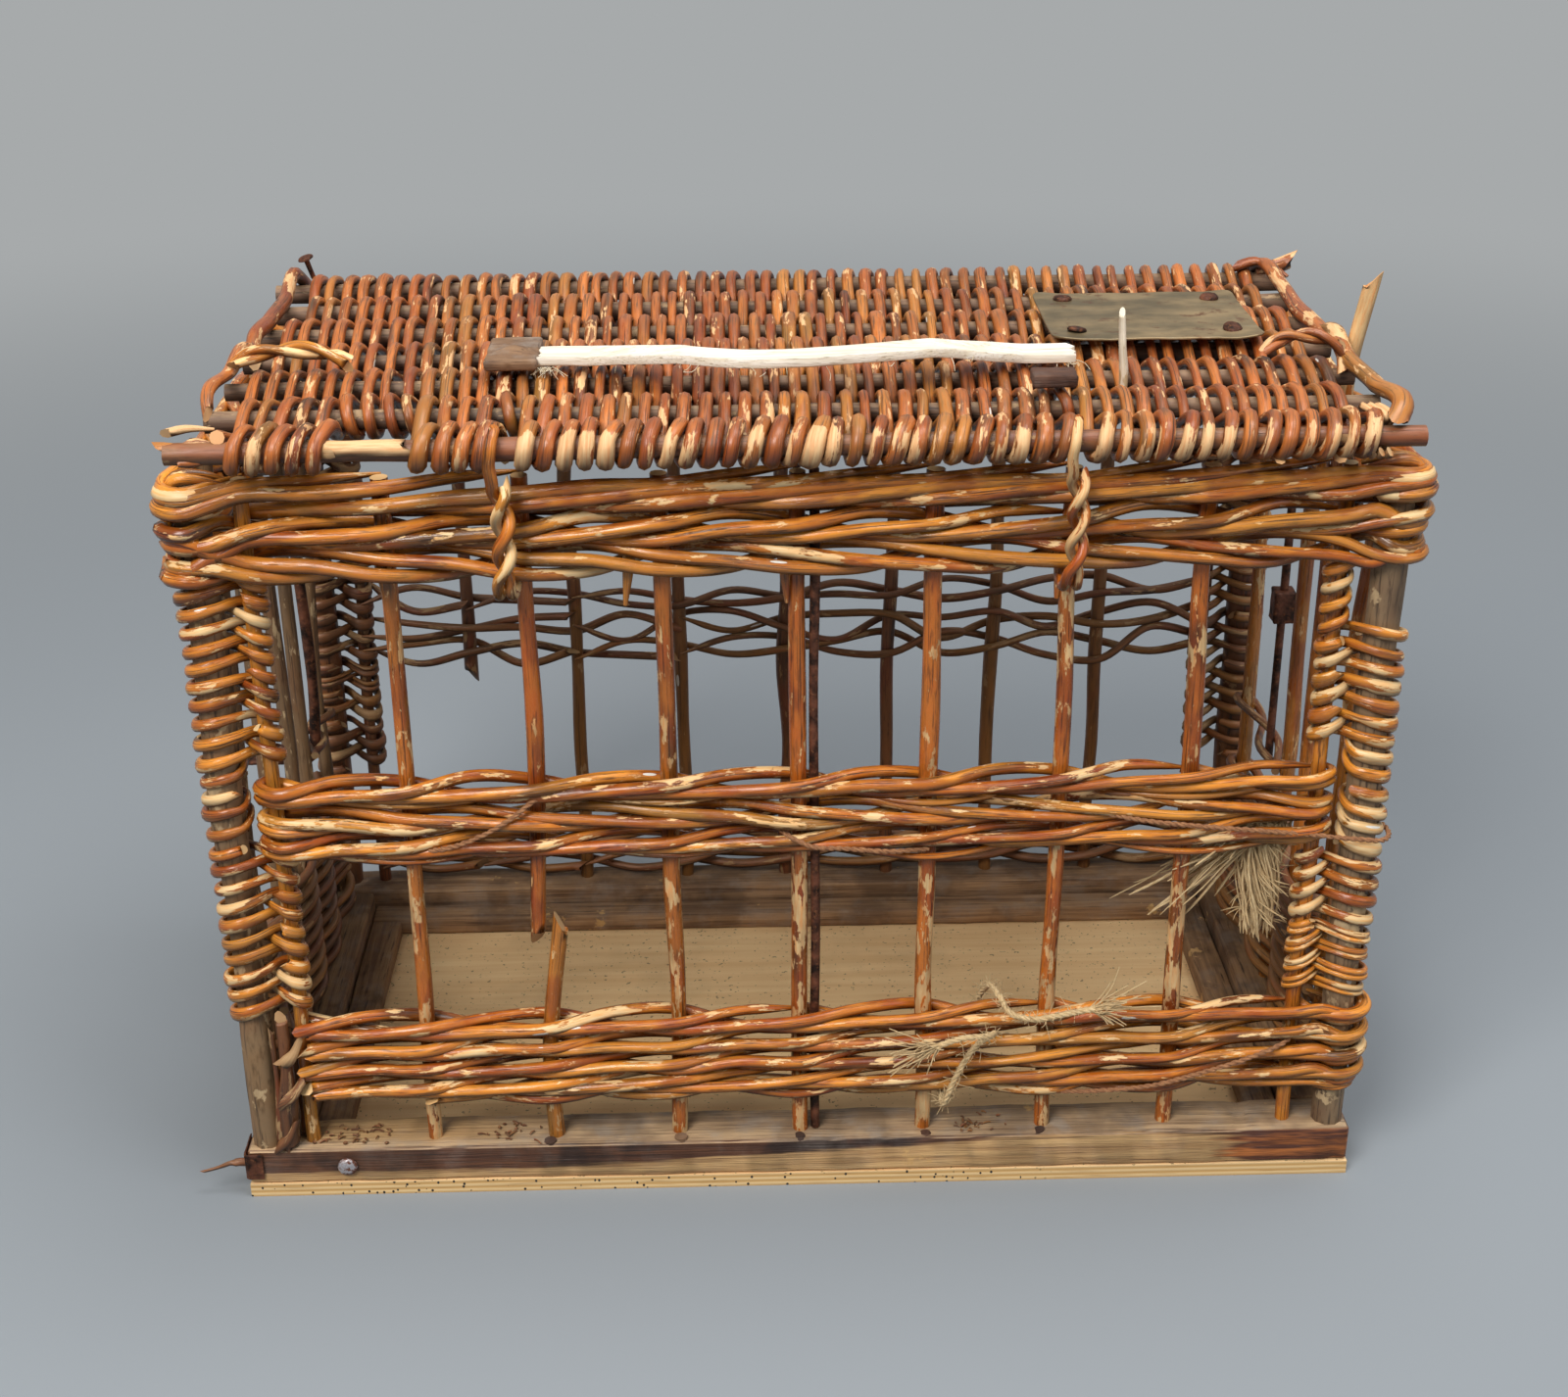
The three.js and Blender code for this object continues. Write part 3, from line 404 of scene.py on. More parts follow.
# %% [markdown]
# ### Timber, board, iron, plate and twine
# The rails are old battens: dark and dusty, with long grain, stains and pale broken spots.
# The board is new plywood, whose edge shows thin plies and specks of ink. Wood grain is a
# noise that is stretched far along one axis, so one group serves every batten.

# %% Timber group
net, given, out = new_group("timber", dict(
    Place=(0, 0, 0), Light="#a58a68", Mid="#6d5138", Dark="#2a1a12", Stain=0.5, Dust=0.3, Bare=0.2))
timber = net.tree
here = net.here()
grain = net.cloud(given["Place"], 1.0, 5.0, 0.65)
fine = net.cloud(given["Place"], (2.0, 4.0, 4.0), 3.0, 0.6)
tone = net.mix(net.spread(grain, 0.36, 0.66), given["Mid"], given["Light"])
tone = net.over(tone, given["Dark"], net.spread(fine, 0.56, 0.74))
tone = net.over(tone, given["Dark"], net.soft(net.cloud(here, 22.0, 4.0, 0.6), 0.44, 0.6), given["Stain"])
tone = net.over(tone, "#9c948a", net.soft(net.cloud(here, 60.0, 4.0, 0.6), 0.45, 0.7), given["Dust"])
bare_spot = net.spread(net.plus(net.cloud(here, 34.0, 5.0, 0.62), net.times(given["Bare"], 0.2)),
                       0.66, 0.69)
net.give(out["Colour"], net.over(tone, "#c39a63", bare_spot))
net.give(out["Roughness"], net.spread(grain, 0.3, 0.7, 0.68, 0.92))
net.give(out["Height"], net.plus(grain, net.times(fine, 0.5), net.times(bare_spot, -0.6)))


def timber_parts(net, along, light, mid, dark, stain, dust, bare):
    """along is the stretch on each axis: a small number lies along the grain."""
    place = net.put("Mapping", {"Vector": net.here(), "Scale": along})[0]
    return net.put("Group", dict(Place=place, Light=light, Mid=mid, Dark=dark, Stain=stain,
                                 Dust=dust, Bare=bare), node_tree=timber)


def timber_finish(name, *values, bump=0.7):
    made, net = new_material(name)
    wood = timber_parts(net, *values)
    dress(net, wood["Colour"], wood["Roughness"], wood["Height"], bump, 0.0012)
    return made


ALONG_X, ALONG_Y, SHORT_X = (9, 260, 260), (260, 9, 260), (30, 260, 260)
rear_timber = timber_finish("rear_batten_wood", ALONG_X, "#ab8660", "#7d5c3f", "#38241a", 0.45, 0.25, 0.05)
side_timber = timber_finish("side_batten_wood", ALONG_Y, "#a37e56", "#725136", "#2f1d12", 0.5, 0.2, 0.08)
fitting_timber = timber_finish("fitting_wood", SHORT_X, "#8b6b4e", "#6a4c35", "#2d1b12", 0.5, 0.45, 0.1)
dark_fitting = timber_finish("dark_fitting_wood", SHORT_X, "#5d3c2a", "#44291c", "#1c100a", 0.6, 0.1, -0.3)
split_willow = timber_finish("split_willow", (7, 300, 300), "#f2ece0", "#ded2ba", "#a08f72",
                             0.12, 0.0, -1.0, bump=0.5)

# %% The front batten's wood
front_timber, net = new_material("front_batten_wood")
here = net.here()
x, y, z = net.parts(here)
wobble = net.times(net.cloud(here, (8, 60, 240), 5.0, 0.62), 0.014)
dark_wood, pale_wood, top_wood = (timber_parts(net, ALONG_X, *values) for values in (
    ("#6b4228", "#452717", "#1c0f09", 0.75, 0.1, -0.3),
    ("#cfa873", "#a27a4e", "#5a3d26", 0.15, 0.12, 0.0),
    ("#c9a880", "#97795a", "#46342a", 0.4, 0.4, -0.1)))
along_x = net.plus(x, net.times(wobble, 5.0))
limit = net.spread(along_x, -0.12, 0.14, 0.0205, 0.0340)
above = net.calc("SUBTRACT", net.plus(z, wobble), limit)
face = net.mix(net.spread(above, -0.0004, 0.0012, 1.0, 0.0), dark_wood["Colour"], pale_wood["Colour"])
orange = net.spread(net.cloud(here, (14, 90, 170), 4.0, 0.6), 0.47, 0.62)
face = net.mix(net.spread(along_x, 0.262, 0.276), face, net.mix(orange, "#4a2413", "#a8622c"))
top = net.over(top_wood["Colour"], pale_wood["Colour"], net.spread(x, -0.12, -0.2),
               net.spread(net.plus(y, net.times(wobble, 2.0)), -0.1345, -0.130))
dress(net, net.mix(net.spread(net.facing_up(), 0.55, 0.85), face, top),
      net.times(dark_wood["Roughness"], net.spread(net.cloud(here, 40.0), 0.35, 0.6, 0.55, 1.0)),
      dark_wood["Height"], 0.8, 0.0014)

# %% Plywood
ply, net = new_material("plywood")
here = net.here()
x, y, z = net.parts(here)
edge = net.spread(net.calc("ABSOLUTE", net.facing_up()), 0.3, 0.7, 1.0, 0.0)
grain = net.cloud(here, (6, 120, 120), 4.0, 0.6)
face = net.mix(net.spread(grain, 0.35, 0.68), "#e9bd85", "#f6d29c")
face = net.over(face, "#a58862", net.spread(net.cloud(here, 12.0, 4.0, 0.6), 0.5, 0.68), 0.22)
face = net.over(face, "#5b4632", net.spread(net.cloud(here, 420.0), 0.66, 0.7), 0.7)
plies = net.calc("PINGPONG", net.times(z, 1000.0), 1.6)
rim = net.mix(net.spread(plies, 0.2, 1.3), "#c79a5c", "#e7c690")
rim = net.over(rim, "#9a6f3c", net.spread(net.cloud(here, (30, 30, 900), 3.0), 0.55, 0.75), 0.6)
ink_cells = net.put("TexVoronoi", {"Scale": 1.0, "Vector": net.put(
    "Mapping", {"Vector": here, "Scale": (330, 100, 260)})[0]})
pick = net.put("SeparateColor", {0: ink_cells["Color"]})
ink_run = net.spread(net.cloud(here, (11, 0, 0), 3.0, 0.7), 0.44, 0.6, 0.25, 0.95)
rim = net.over(rim, "#1d1a18", net.calc("LESS_THAN", ink_cells["Distance"], net.times(pick[1], 0.42)),
               net.calc("LESS_THAN", pick[0], ink_run), net.spread(x, 0.14, 0.12))
dress(net, net.mix(edge, face, rim), net.spread(grain, 0.3, 0.7, 0.62, 0.8),
      net.plus(grain, net.times(plies, edge, 0.3)), 0.35, 0.0006)

# %% Rust, plate and jute
rust, net = new_material("rusty_iron")
pits, bloom = net.cloud(net.here(), 380.0, 5.0, 0.65), net.cloud(net.here(), 110.0, 4.0, 0.6)
tone = net.mix(net.spread(bloom, 0.38, 0.62), "#2b1e19", "#6a3a22")
dress(net, net.over(tone, "#8c5a3a", net.spread(pits, 0.56, 0.72)), net.spread(pits, 0.3, 0.7, 0.42, 0.85),
      pits, 0.6, 0.0008, net.spread(bloom, 0.4, 0.62, 0.75, 0.15))

rubbed_steel, net = new_material("rubbed_nail")
patch = net.cloud(net.here(), 260.0, 4.0, 0.6)
rubbed = net.spread(patch, 0.45, 0.56)
dress(net, net.mix(rubbed, "#5d3320", "#c9c3c6"), net.spread(patch, 0.42, 0.6, 0.75, 0.28), patch,
      0.7, 0.0008, net.spread(rubbed, 0, 1, 0.1, 0.85))

tarnished, net = new_material("tarnished_plate")
here = net.here()
haze = net.cloud(here, (26.0, 41.6, 26.0), 5.0, 0.6)
scratch = net.cloud(here, (40.0, 700.0, 300.0), 3.0, 0.6)
tone = net.mix(net.spread(haze, 0.36, 0.66), "#74654a", "#a28b68")
tone = net.over(tone, "#6d4a32", net.spread(net.cloud(here, 90.0, 4.0, 0.65), 0.58, 0.7))
tone = net.over(tone, "#9b937c", net.spread(scratch, 0.62, 0.7), 0.5)
dress(net, tone, net.spread(haze, 0.3, 0.7, 0.42, 0.62), net.plus(haze, net.times(scratch, 0.4)),
      0.25, 0.001, 0.65)


def fibre_finish(name, fineness, dark, pale, roughness):
    made, net = new_material(name)
    fibres = net.cloud(net.put("UVMap", uv_map="along")[0], (9, fineness, 1), 4.0, 0.7)
    dress(net, net.mix(net.spread(fibres, 0.35, 0.68), dark, pale), roughness, fibres, 0.6, 0.0005)
    return made


jute = fibre_finish("jute", 240, "#b08c5c", "#ead2a4", 0.9)
bark_twist = fibre_finish("twisted_bark", 300, "#6d4128", "#b88458", 0.8)
print("finishes:", len(bpy.data.materials))

# %% [markdown]
# ## Twine
# A piece of jute twine is tied round the foot band, and its two ends hang loose. Twine is
# three yarns that twist round each other, and the ends come apart into fibres. The line
# through it is the same as the solid's, so each yarn is swept along that line, a little off
# its middle and turning as it goes.

# %% Twine
TWINE_LINE = [
    (153, -172, 121), (136, -171, 117), (120, -167, 112), (110, -160, 112), (105, -151, 117),
    (102, -141, 117), (98, -131, 106), (92, -127.5, 84), (84, -126.5, 60), (79, -134, 54.2),
    (76, -150, 54.2), (76, -161, 56), (83, -160.5, 74), (94, -159, 92), (102, -163, 101),
    (97, -170, 104), (84, -173, 105), (70, -173, 100)]
TWINE_WIDTH, TWINE_LAY = 3.5, 11.0
FRAY_FRONT = -177
FRAY_SIDE = (0.3, 0.2, 0.9)


def moving_frame(line):
    """Two directions square to a line that never twist about it."""
    way = unit(np.gradient(line, axis=0))
    first = np.zeros_like(way)
    side = np.cross(way[0], (0.3, 0.2, 1.0))
    for i, direction in enumerate(way):
        side = unit(side - direction * (side @ direction))
        first[i] = side
    return first, np.cross(way, first)


def yarns(rods, line, width, lay, count=3):
    """Yarns that twist round one line, which together are as wide as the width."""
    first, second = moving_frame(line)
    thick = width / 2 / (1 + 2 / math.sqrt(3)) * 1.3
    off = width / 2 - thick
    for k in range(count):
        turn = lengths_along(line) / lay * 2 * math.pi + k * 2 * math.pi / count
        places = line + off * (np.cos(turn)[:, None] * first + np.sin(turn)[:, None] * second)
        rods.add(places, thick, sides=6, step=2.0, rough=0.08, side_way=(0.31, 0.2, 0.93))


twine_line = smooth_line(TWINE_LINE, 1.6)[0]
twine_rods = Rods()
yarns(twine_rods, twine_line, TWINE_WIDTH, TWINE_LAY)
twine = twine_rods.make("twine", jute, "basket", ("twine_tie",))

fray = Rods()
for end, away in ((twine_line[0], twine_line[0] - twine_line[4]),
                  (twine_line[-1], twine_line[-1] - twine_line[-5])):
    away = unit(away)
    for _ in range(60):
        reach = dice.uniform(5, 19)
        tip = end + (away + dice.normal(0, 0.45, 3)) * reach
        tip[1] = max(tip[1], FRAY_FRONT)
        fray.add([end - away * 3 + dice.normal(0, 0.5, 3), (end + tip) / 2 + dice.normal(0, 1, 3), tip],
                 0.3, sides=4, side_way=FRAY_SIDE)
for place in np.repeat(twine_line[6:-6], 2, axis=0):
    hair = place + dice.normal(0, 1, 3) * 1.2
    fray.add([place, hair + dice.normal(0, 1.4, 3), hair + dice.normal(0, 3.2, 3)], 0.18, sides=4,
             step=3.0, side_way=FRAY_SIDE)
twine_fray = fray.make("twine_fibres", jute, "basket")

# %% [markdown]
# ## Board and battens
# The board's flat shape needs nothing but a finish. The battens over it are rough sawn wood
# that has been knocked about: their edges are rounded and chipped, and no face is quite flat.
# So each is a box that is cut into short lengths, beveled, and then pushed in a little by
# noise, most at its edges. The cuts come from bisect, one every few millimetres.

# %% Board and battens
def box_between(name, low, high):
    """A box between two corners in millimetres, whose place is in its mesh."""
    bpy.ops.object.select_all(action="DESELECT")
    bpy.ops.mesh.primitive_cube_add(size=1)
    piece = bpy.context.object
    piece.name = name
    low, high = Vector(low) * MM, Vector(high) * MM
    piece.data.transform(Matrix.Translation((low + high) / 2) @ Matrix.Diagonal((*(high - low), 1)))
    return piece


def slice_along(piece, axis, spacing):
    """Cuts a piece square to one axis, so that it can bend and wear along its length."""
    spots = [vert.co[axis] for vert in piece.data.vertices]
    low, high = min(spots), max(spots)
    count = max(2, int((high - low) / (spacing * MM)))
    square = Vector([float(k == axis) for k in range(3)])
    bpy.ops.object.mode_set(mode="EDIT")
    for k in range(1, count):
        bpy.ops.mesh.select_all(action="SELECT")
        bpy.ops.mesh.bisect(plane_co=square * (low + (high - low) * k / count), plane_no=square)
    bpy.ops.object.mode_set(mode="OBJECT")


def bevel_edges(piece, width, segments=2):
    rounding = piece.modifiers.new("rounding", "BEVEL")
    rounding.width, rounding.segments, rounding.limit_method = width * MM, segments, "ANGLE"
    bpy.ops.object.modifier_apply(modifier="rounding")


def wear(piece, depth, scale, seed=0.0):
    """Pushes the surface in by noise, twice as far where it already curves at an edge."""
    for vert in piece.data.vertices:
        slow = noise.noise(vert.co * scale + Vector((seed, 0, 0)))
        quick = noise.noise(vert.co * scale * 4.0 + Vector((0, seed, 0)))
        push = depth * MM * (0.5 + 0.8 * slow + 0.5 * max(0.0, quick))
        edge = 1.0 + (max(abs(part) for part in vert.normal) < 0.95)
        vert.co -= vert.normal * max(0.0, push) * edge
    piece.data.update()


def smooth_up_to(degrees):
    bpy.ops.object.shade_smooth_by_angle(angle=math.radians(degrees))


BOARD_TOP, RAIL_TOP, LEDGE_TOP = 8, 30, 20
BATTEN_SLICE, BATTEN_EDGE, BATTEN_WEAR = 7.0, 1.6, 45.0
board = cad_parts["base_board"]
board.data.materials.clear()
board.data.materials.append(ply)
for name, low, high, top, axis, material, replaced, depth in (
        ("front_batten", (-300, -155), (300, -125), RAIL_TOP, 0, front_timber, "front_rail", 0.8),
        ("rear_batten", (-300, 125), (300, 155), RAIL_TOP, 0, rear_timber, "rear_rail", 0.5),
        ("left_batten", (-300, -124.7), (-270, 124.7), RAIL_TOP, 1, side_timber, "left_rail", 0.5),
        ("right_batten", (270, -124.7), (300, 124.7), RAIL_TOP, 1, side_timber, "right_rail", 0.5),
        ("rear_step", (-269.7, 105.7), (269.7, 124.7), LEDGE_TOP, 0, rear_timber, "rear_ledge", 0.5),
        ("left_step", (-269.7, -124.7), (-250.7, 105.4), LEDGE_TOP, 1, side_timber, "left_ledge", 0.5),
        ("right_step", (250.7, -124.7), (269.7, 105.4), LEDGE_TOP, 1, side_timber, "right_ledge", 0.5)):
    piece = box_between(name, (*low, BOARD_TOP), (*high, top))
    slice_along(piece, axis, BATTEN_SLICE)
    bevel_edges(piece, BATTEN_EDGE)
    wear(piece, depth, BATTEN_WEAR, float(dice.uniform(0, 50)))
    smooth_up_to(40)
    settle(piece, material, "basket", (replaced,))

# %% [markdown]
# ## Walls of willow
# The uprights stand in a ring, and every band is a few rods that run past them, now outside
# and now inside. On the real basket a weaver lays three rods at once: each passes in front
# of two uprights and behind one, over its fellows, so the rods slant like the strands of a
# rope. So the uprights are listed once, in order round the basket, and a rod is a walk along
# that list with a side and a height at each upright.

# %% Uprights in order round the basket
WALL_X, WALL_Y = 289.0, 143.0
LID_Z, LID_FRONT, LID_REAR = 427.37, -163.0, 126.0
POST_R, STAKE_R, CORNER_R = 9.0, 4.25, 4.0
STAKES_X = [-198.75 + 66.25 * i for i in range(7)]
CORNER_X = 265.0
LEFT_BARS, RIGHT_BARS, END_Y = [-54.0, 0.0, 46.0], [-37.0, 3.0], 108.0
BOLT_Y, ROD_Y, BROKEN_X = 80.0, 45.0, -198.75
CORNERS = ((-1, -1), (1, -1), (-1, 1), (1, 1))
POST_TOP, STAKE_TOP = 404, 408


def uprights():
    """(kind, x, y, radius, direction out) of every upright, front left post first."""
    row, ring = [-CORNER_X, *STAKES_X, CORNER_X], []
    for side_x, side_y, away, spots in (
            (-1, -1, (0, -1), [(x, -WALL_Y) for x in row]),
            (1, -1, (1, 0), [(WALL_X, y) for y in (-END_Y, *RIGHT_BARS, ROD_Y, END_Y)]),
            (1, 1, (0, 1), [(x, WALL_Y) for x in row[::-1]]),
            (-1, 1, (-1, 0), [(-WALL_X, y) for y in (END_Y, BOLT_Y, *LEFT_BARS[::-1], -END_Y)])):
        ring.append(("post", side_x * WALL_X, side_y * WALL_Y, POST_R, None))
        for x, y in spots:
            thin = away == (0, -1) and abs(x) == CORNER_X
            ring.append(("stake", x, y, CORNER_R if thin else STAKE_R, away))
    return ring


RING = uprights()
print("uprights:", len(RING))


def corner_angles(x, y):
    """Where a rod that goes round the basket meets and leaves this post."""
    start = {(-1, -1): 180, (1, -1): 270, (1, 1): 0, (-1, 1): 90}[(int(np.sign(x)), int(np.sign(y)))]
    return [math.radians(start + turn) for turn in (8, 45, 82)]


def walk(first, steps, level, inside, radius, wander=1.0, layer=lambda i: 0.0):
    """Places of a rod from one upright past so many more, with one place between each two.
    level(i) is its height at step i, inside(i) says if it passes on the inner side, and
    layer(i) is how many radii further out it lies, over the rod before it."""
    places, last = [], None
    for i in range(steps + 1):
        kind, x, y, size, away = RING[(first + i) % len(RING)]
        off = (size + radius) * (-1 if kind == "stake" and inside(i) else 1) * 0.98 + radius * layer(i)
        if last:
            way = away or last[3]
            middle = ((last[0] + x) / 2 + way[0] * (last[2] + off) / 2,
                      (last[1] + y) / 2 + way[1] * (last[2] + off) / 2)
            places.append((*middle, level(i - 0.5) + dice.normal(0, wander)))
        z = level(i) + dice.normal(0, wander)
        if kind == "post":
            for angle in corner_angles(x, y):
                places.append((x + off * math.cos(angle), y + off * math.sin(angle), z))
            away = RING[(first + i + 1) % len(RING)][4]
        else:
            places.append((x + off * away[0], y + off * away[1], z))
        last = (x, y, off, away)
    return places


def turn_back(places, upright, radius, sign):
    """Places that bring a rod's end round an upright from the inner side, before its first."""
    x, y, reach, z = upright[1], upright[2], upright[3] + radius, places[0][2]
    return [(x + sign * 0.3 * reach, y + 1.05 * reach, z - 1.0),
            (x - sign * 0.75 * reach, y + 0.7 * reach, z - 0.6),
            (x - sign * reach, y - 0.1 * reach, z - 0.3)] + places


def wale(rods, first, steps, middle, rise, radius, lanes=3, length=9, peeled=0.0, wander=0.5,
         hooks=False):
    """One round of waling from an upright on. A rod climbs as it passes in front and drops as
    it goes behind one upright. Each lane is cut into rods, each a little thinner at its far
    end, and starts where the last one stopped. With hooks, the ends turn round the uprights."""
    for lane in range(lanes):
        begin = 0
        while begin < steps:
            cut = min(steps, begin + length - int(dice.integers(0, 3)))
            while cut < steps and (first + cut + lane) % lanes:
                cut += 1
            number = first + begin + lane

            def level(i, number=number):
                phase = (number + i + 0.5) % lanes - 0.5
                climb = -2 * phase if phase < 0.5 else 2 * (phase - 0.5) / (lanes - 1) - 1
                return middle + rise * climb

            places = walk(first + begin, cut - begin, level,
                          lambda i, number=number: (number + i) % lanes == 0, radius, wander,
                          lambda i, number=number: 0.75 * max(0, (number + i) % lanes - 1))
            if hooks and begin == 0 and (first + lane) % lanes:
                places = turn_back(places, RING[first], radius, 1)
            if hooks and cut == steps and (first + steps + lane) % lanes:
                places = turn_back(places[::-1], RING[first + steps], radius, -1)[::-1]
            rods.add(places, [radius * 1.08, radius * 1.04, radius, radius * 0.82],
                     tips=("slant", "point"), peeled=worn(peeled, 0.12, 9))
            begin = cut


# %% Border
def border_rods(rods, first, last, low, high, radius):
    """The uprights' own tops, bent over one after the other: each leaves behind its upright,
    passes outside the next ones and rises over those that come after it."""
    heights = [low + share * (high - low) for share in (0, 0.42, 0.72, 0.9, 1)]
    for start in range(first, last):
        if RING[start % len(RING)][0] == "post":
            continue
        places = walk(start, 4, lambda i: float(np.interp(i, range(5), heights)),
                      lambda i: i in (0, 4), radius, 0.5, lambda i: (0, 0.7, 0.35, 0, 0)[i])
        rods.add(places, [radius * 1.05, radius * 1.04, radius, radius * 0.62],
                 tips=POINTED, sides=9, peeled=worn(0.0, 0.17, 7))


border = Rods()
border_rods(border, -1, 32, 389.0, 407.3, 3.8)
wale(border, 0, 33, 381.0, 6.4, 3.8, wander=0.7)
wale(border, 0, 33, 365.8, -6.2, 3.65, wander=0.7)
for side_x, side_y in CORNERS:
    for shift in (-4.5, 3.5):
        border.add([(side_x * (WALL_X + x), side_y * (WALL_Y + y), z) for x, y, z in (
            (-17, shift - 2, 405.5), (-5, shift, 409.0), (6, shift * 0.8, 408.2),
            (11, shift * 0.6, 402.0))], 3.5, tips=("point", "slant"))
for side_x, side_y in CORNERS:
    for height in (402.5, 394.6):
        around = [(side_x * (WALL_X + 13.3 * math.cos(turn)), side_y * (WALL_Y + 13.3 * math.sin(turn)),
                   height + 1.2 * math.sin(turn)) for turn in np.radians([-75, -35, 8, 45, 82, 125, 165])]
        border.add(around, 4.3, peeled=[0.1, 0.6, 0.9, 0.5, 0.9, 0.6, 0.1], tips=SLANTED)
for peg_x, lean in ((-202.0, 1.5), (-81.0, -2.0), (-7.0, 1.0), (128.0, -1.0)):
    border.add([(peg_x, -WALL_Y - 0.5, 372), (peg_x + lean, -WALL_Y - 1.5, 352),
                (peg_x + 1.6 * lean, -WALL_Y - 2, 341)], 3.3, tips=POINTED)
border.make("border", varnished, "basket",
            ("front_border", "rear_border", "left_border", "right_border"))

# %% Middle and foot bands of the front and of the rear
FRONT, REAR, BAYS = 1, 17, 8
mid = Rods()
for height, rise, radius in ((242.0, 5.2, 3.3), (226.0, -4.6, 3.2), (211.0, 5.0, 3.2)):
    wale(mid, FRONT, BAYS, height, rise, radius, length=8, peeled=0.04, wander=0.6, hooks=True)
for height in (234.0, 203.5):
    mid.add([(x, -WALL_Y - (7.6 if k % 2 else -7.6), height + dice.normal(0, 1.2))
             for k, x in enumerate([-CORNER_X, *STAKES_X, CORNER_X])], 1.9, tips=("slant", "point"))
mid.make("front_middle_band", varnished, "basket", ("front_mid_band",))
foot = Rods()
for height in (102.0, 89.0, 76.5, 64.5):
    wale(foot, FRONT, 10, height, 4.3, 3.2, length=6, peeled=0.06, wander=0.7)
wale(foot, 2, 8, 57.5, 2.2, 2.9, lanes=2, length=5, peeled=0.06, wander=1.2)
foot.make("front_low_band", varnished, "basket", ("front_foot_band",))
rear_mid = Rods()
for height, rise in ((228.0, 5.0), (209.0, -6.0), (192.0, 7.0)):
    wale(rear_mid, REAR, BAYS, height, rise, 2.5, lanes=2, length=6, wander=3.6)
rear_mid.make("rear_middle_band", old_willow, "basket", ("rear_mid_band",))
rear_foot = Rods()
wale(rear_foot, REAR, BAYS, 56.0, 6.0, 3.2, length=7, wander=2.0)
wale(rear_foot, REAR, BAYS, 42.0, 5.0, 3.0, length=7, wander=1.5)
rear_foot.make("rear_low_band", old_willow, "basket", ("rear_foot_band",))

# %% [markdown]
# ## Uprights
# The front stakes are varnished rods that show much pale wood where birds and hands have
# rubbed them. They are never quite straight, and each has a few swollen places where twigs
# grew. The corner posts are thick old rods. One front stake has snapped in the middle, one
# rear stake has lost its foot, and a bar of the right end stands loose above the lid.

# %% Uprights
def upright(rods, places, radius, step=6.0, bow=0.8, **more):
    """A rod that stands almost straight, with its own slight bends and swellings."""
    line = np.asarray(places, float)
    run = lengths_along(line)
    spots = np.linspace(0, run[-1], max(3, int(run[-1] / 45)))
    line = np.stack([np.interp(spots, run, line[:, k]) for k in range(3)], 1)
    line[1:-1, :2] += dice.normal(0, bow, (len(line) - 2, 2))
    rods.add(line, radius * (1 + dice.normal(0, 0.035, len(line))), step=step, side_way=(1, 0, 0),
             sides=10, **more)


def stand(x, y, low, high):
    return [(x, y, low), (x, y, high)]


def lone_upright(name, places, radius, material, slot, replaced, **more):
    rods = Rods()
    upright(rods, places, radius, **more)
    rods.make(name, material, "basket", (replaced,))


FRONT_FOOT, REAR_FOOT = 9, 12
for number, x in enumerate(STAKES_X, 1):
    if number != 2:
        lone_upright(f"stake_{number}", stand(x, -WALL_Y, FRONT_FOOT, STAKE_TOP), STAKE_R, bare_willow,
                     "willow", f"front_stake_{number}", peeled=[0.24, 0.2, 0.08, 0.16, 0.05, 0, 0, 0])
        continue
    lone_upright("stake_2_stub", [(x, -WALL_Y, FRONT_FOOT), (x, -WALL_Y, 118), (x + 8.2, -WALL_Y, 164)],
                 STAKE_R, bare_willow, "willow", "front_stake_2_lower", tips=("cut", "slant"))
    lone_upright("stake_2_hanging", [(x - 4.2, -WALL_Y, 152), (x, -WALL_Y, 196), (x, -WALL_Y, STAKE_TOP)],
                 STAKE_R, bare_willow, "willow", "front_stake_2_upper", tips=("slant", "cut"))
for side, sign in (("left", -1), ("right", 1)):
    lone_upright(f"front_{side}_thin_stake", stand(sign * CORNER_X, -WALL_Y, FRONT_FOOT, STAKE_TOP),
                 CORNER_R, varnished, "willow", f"front_{side}_corner_stake")
    lone_upright(f"front_{side}_thick_post", stand(sign * WALL_X, -WALL_Y, FRONT_FOOT, POST_TOP),
                 POST_R, grey_willow, "old_willow", f"front_{side}_post", bow=0.5)

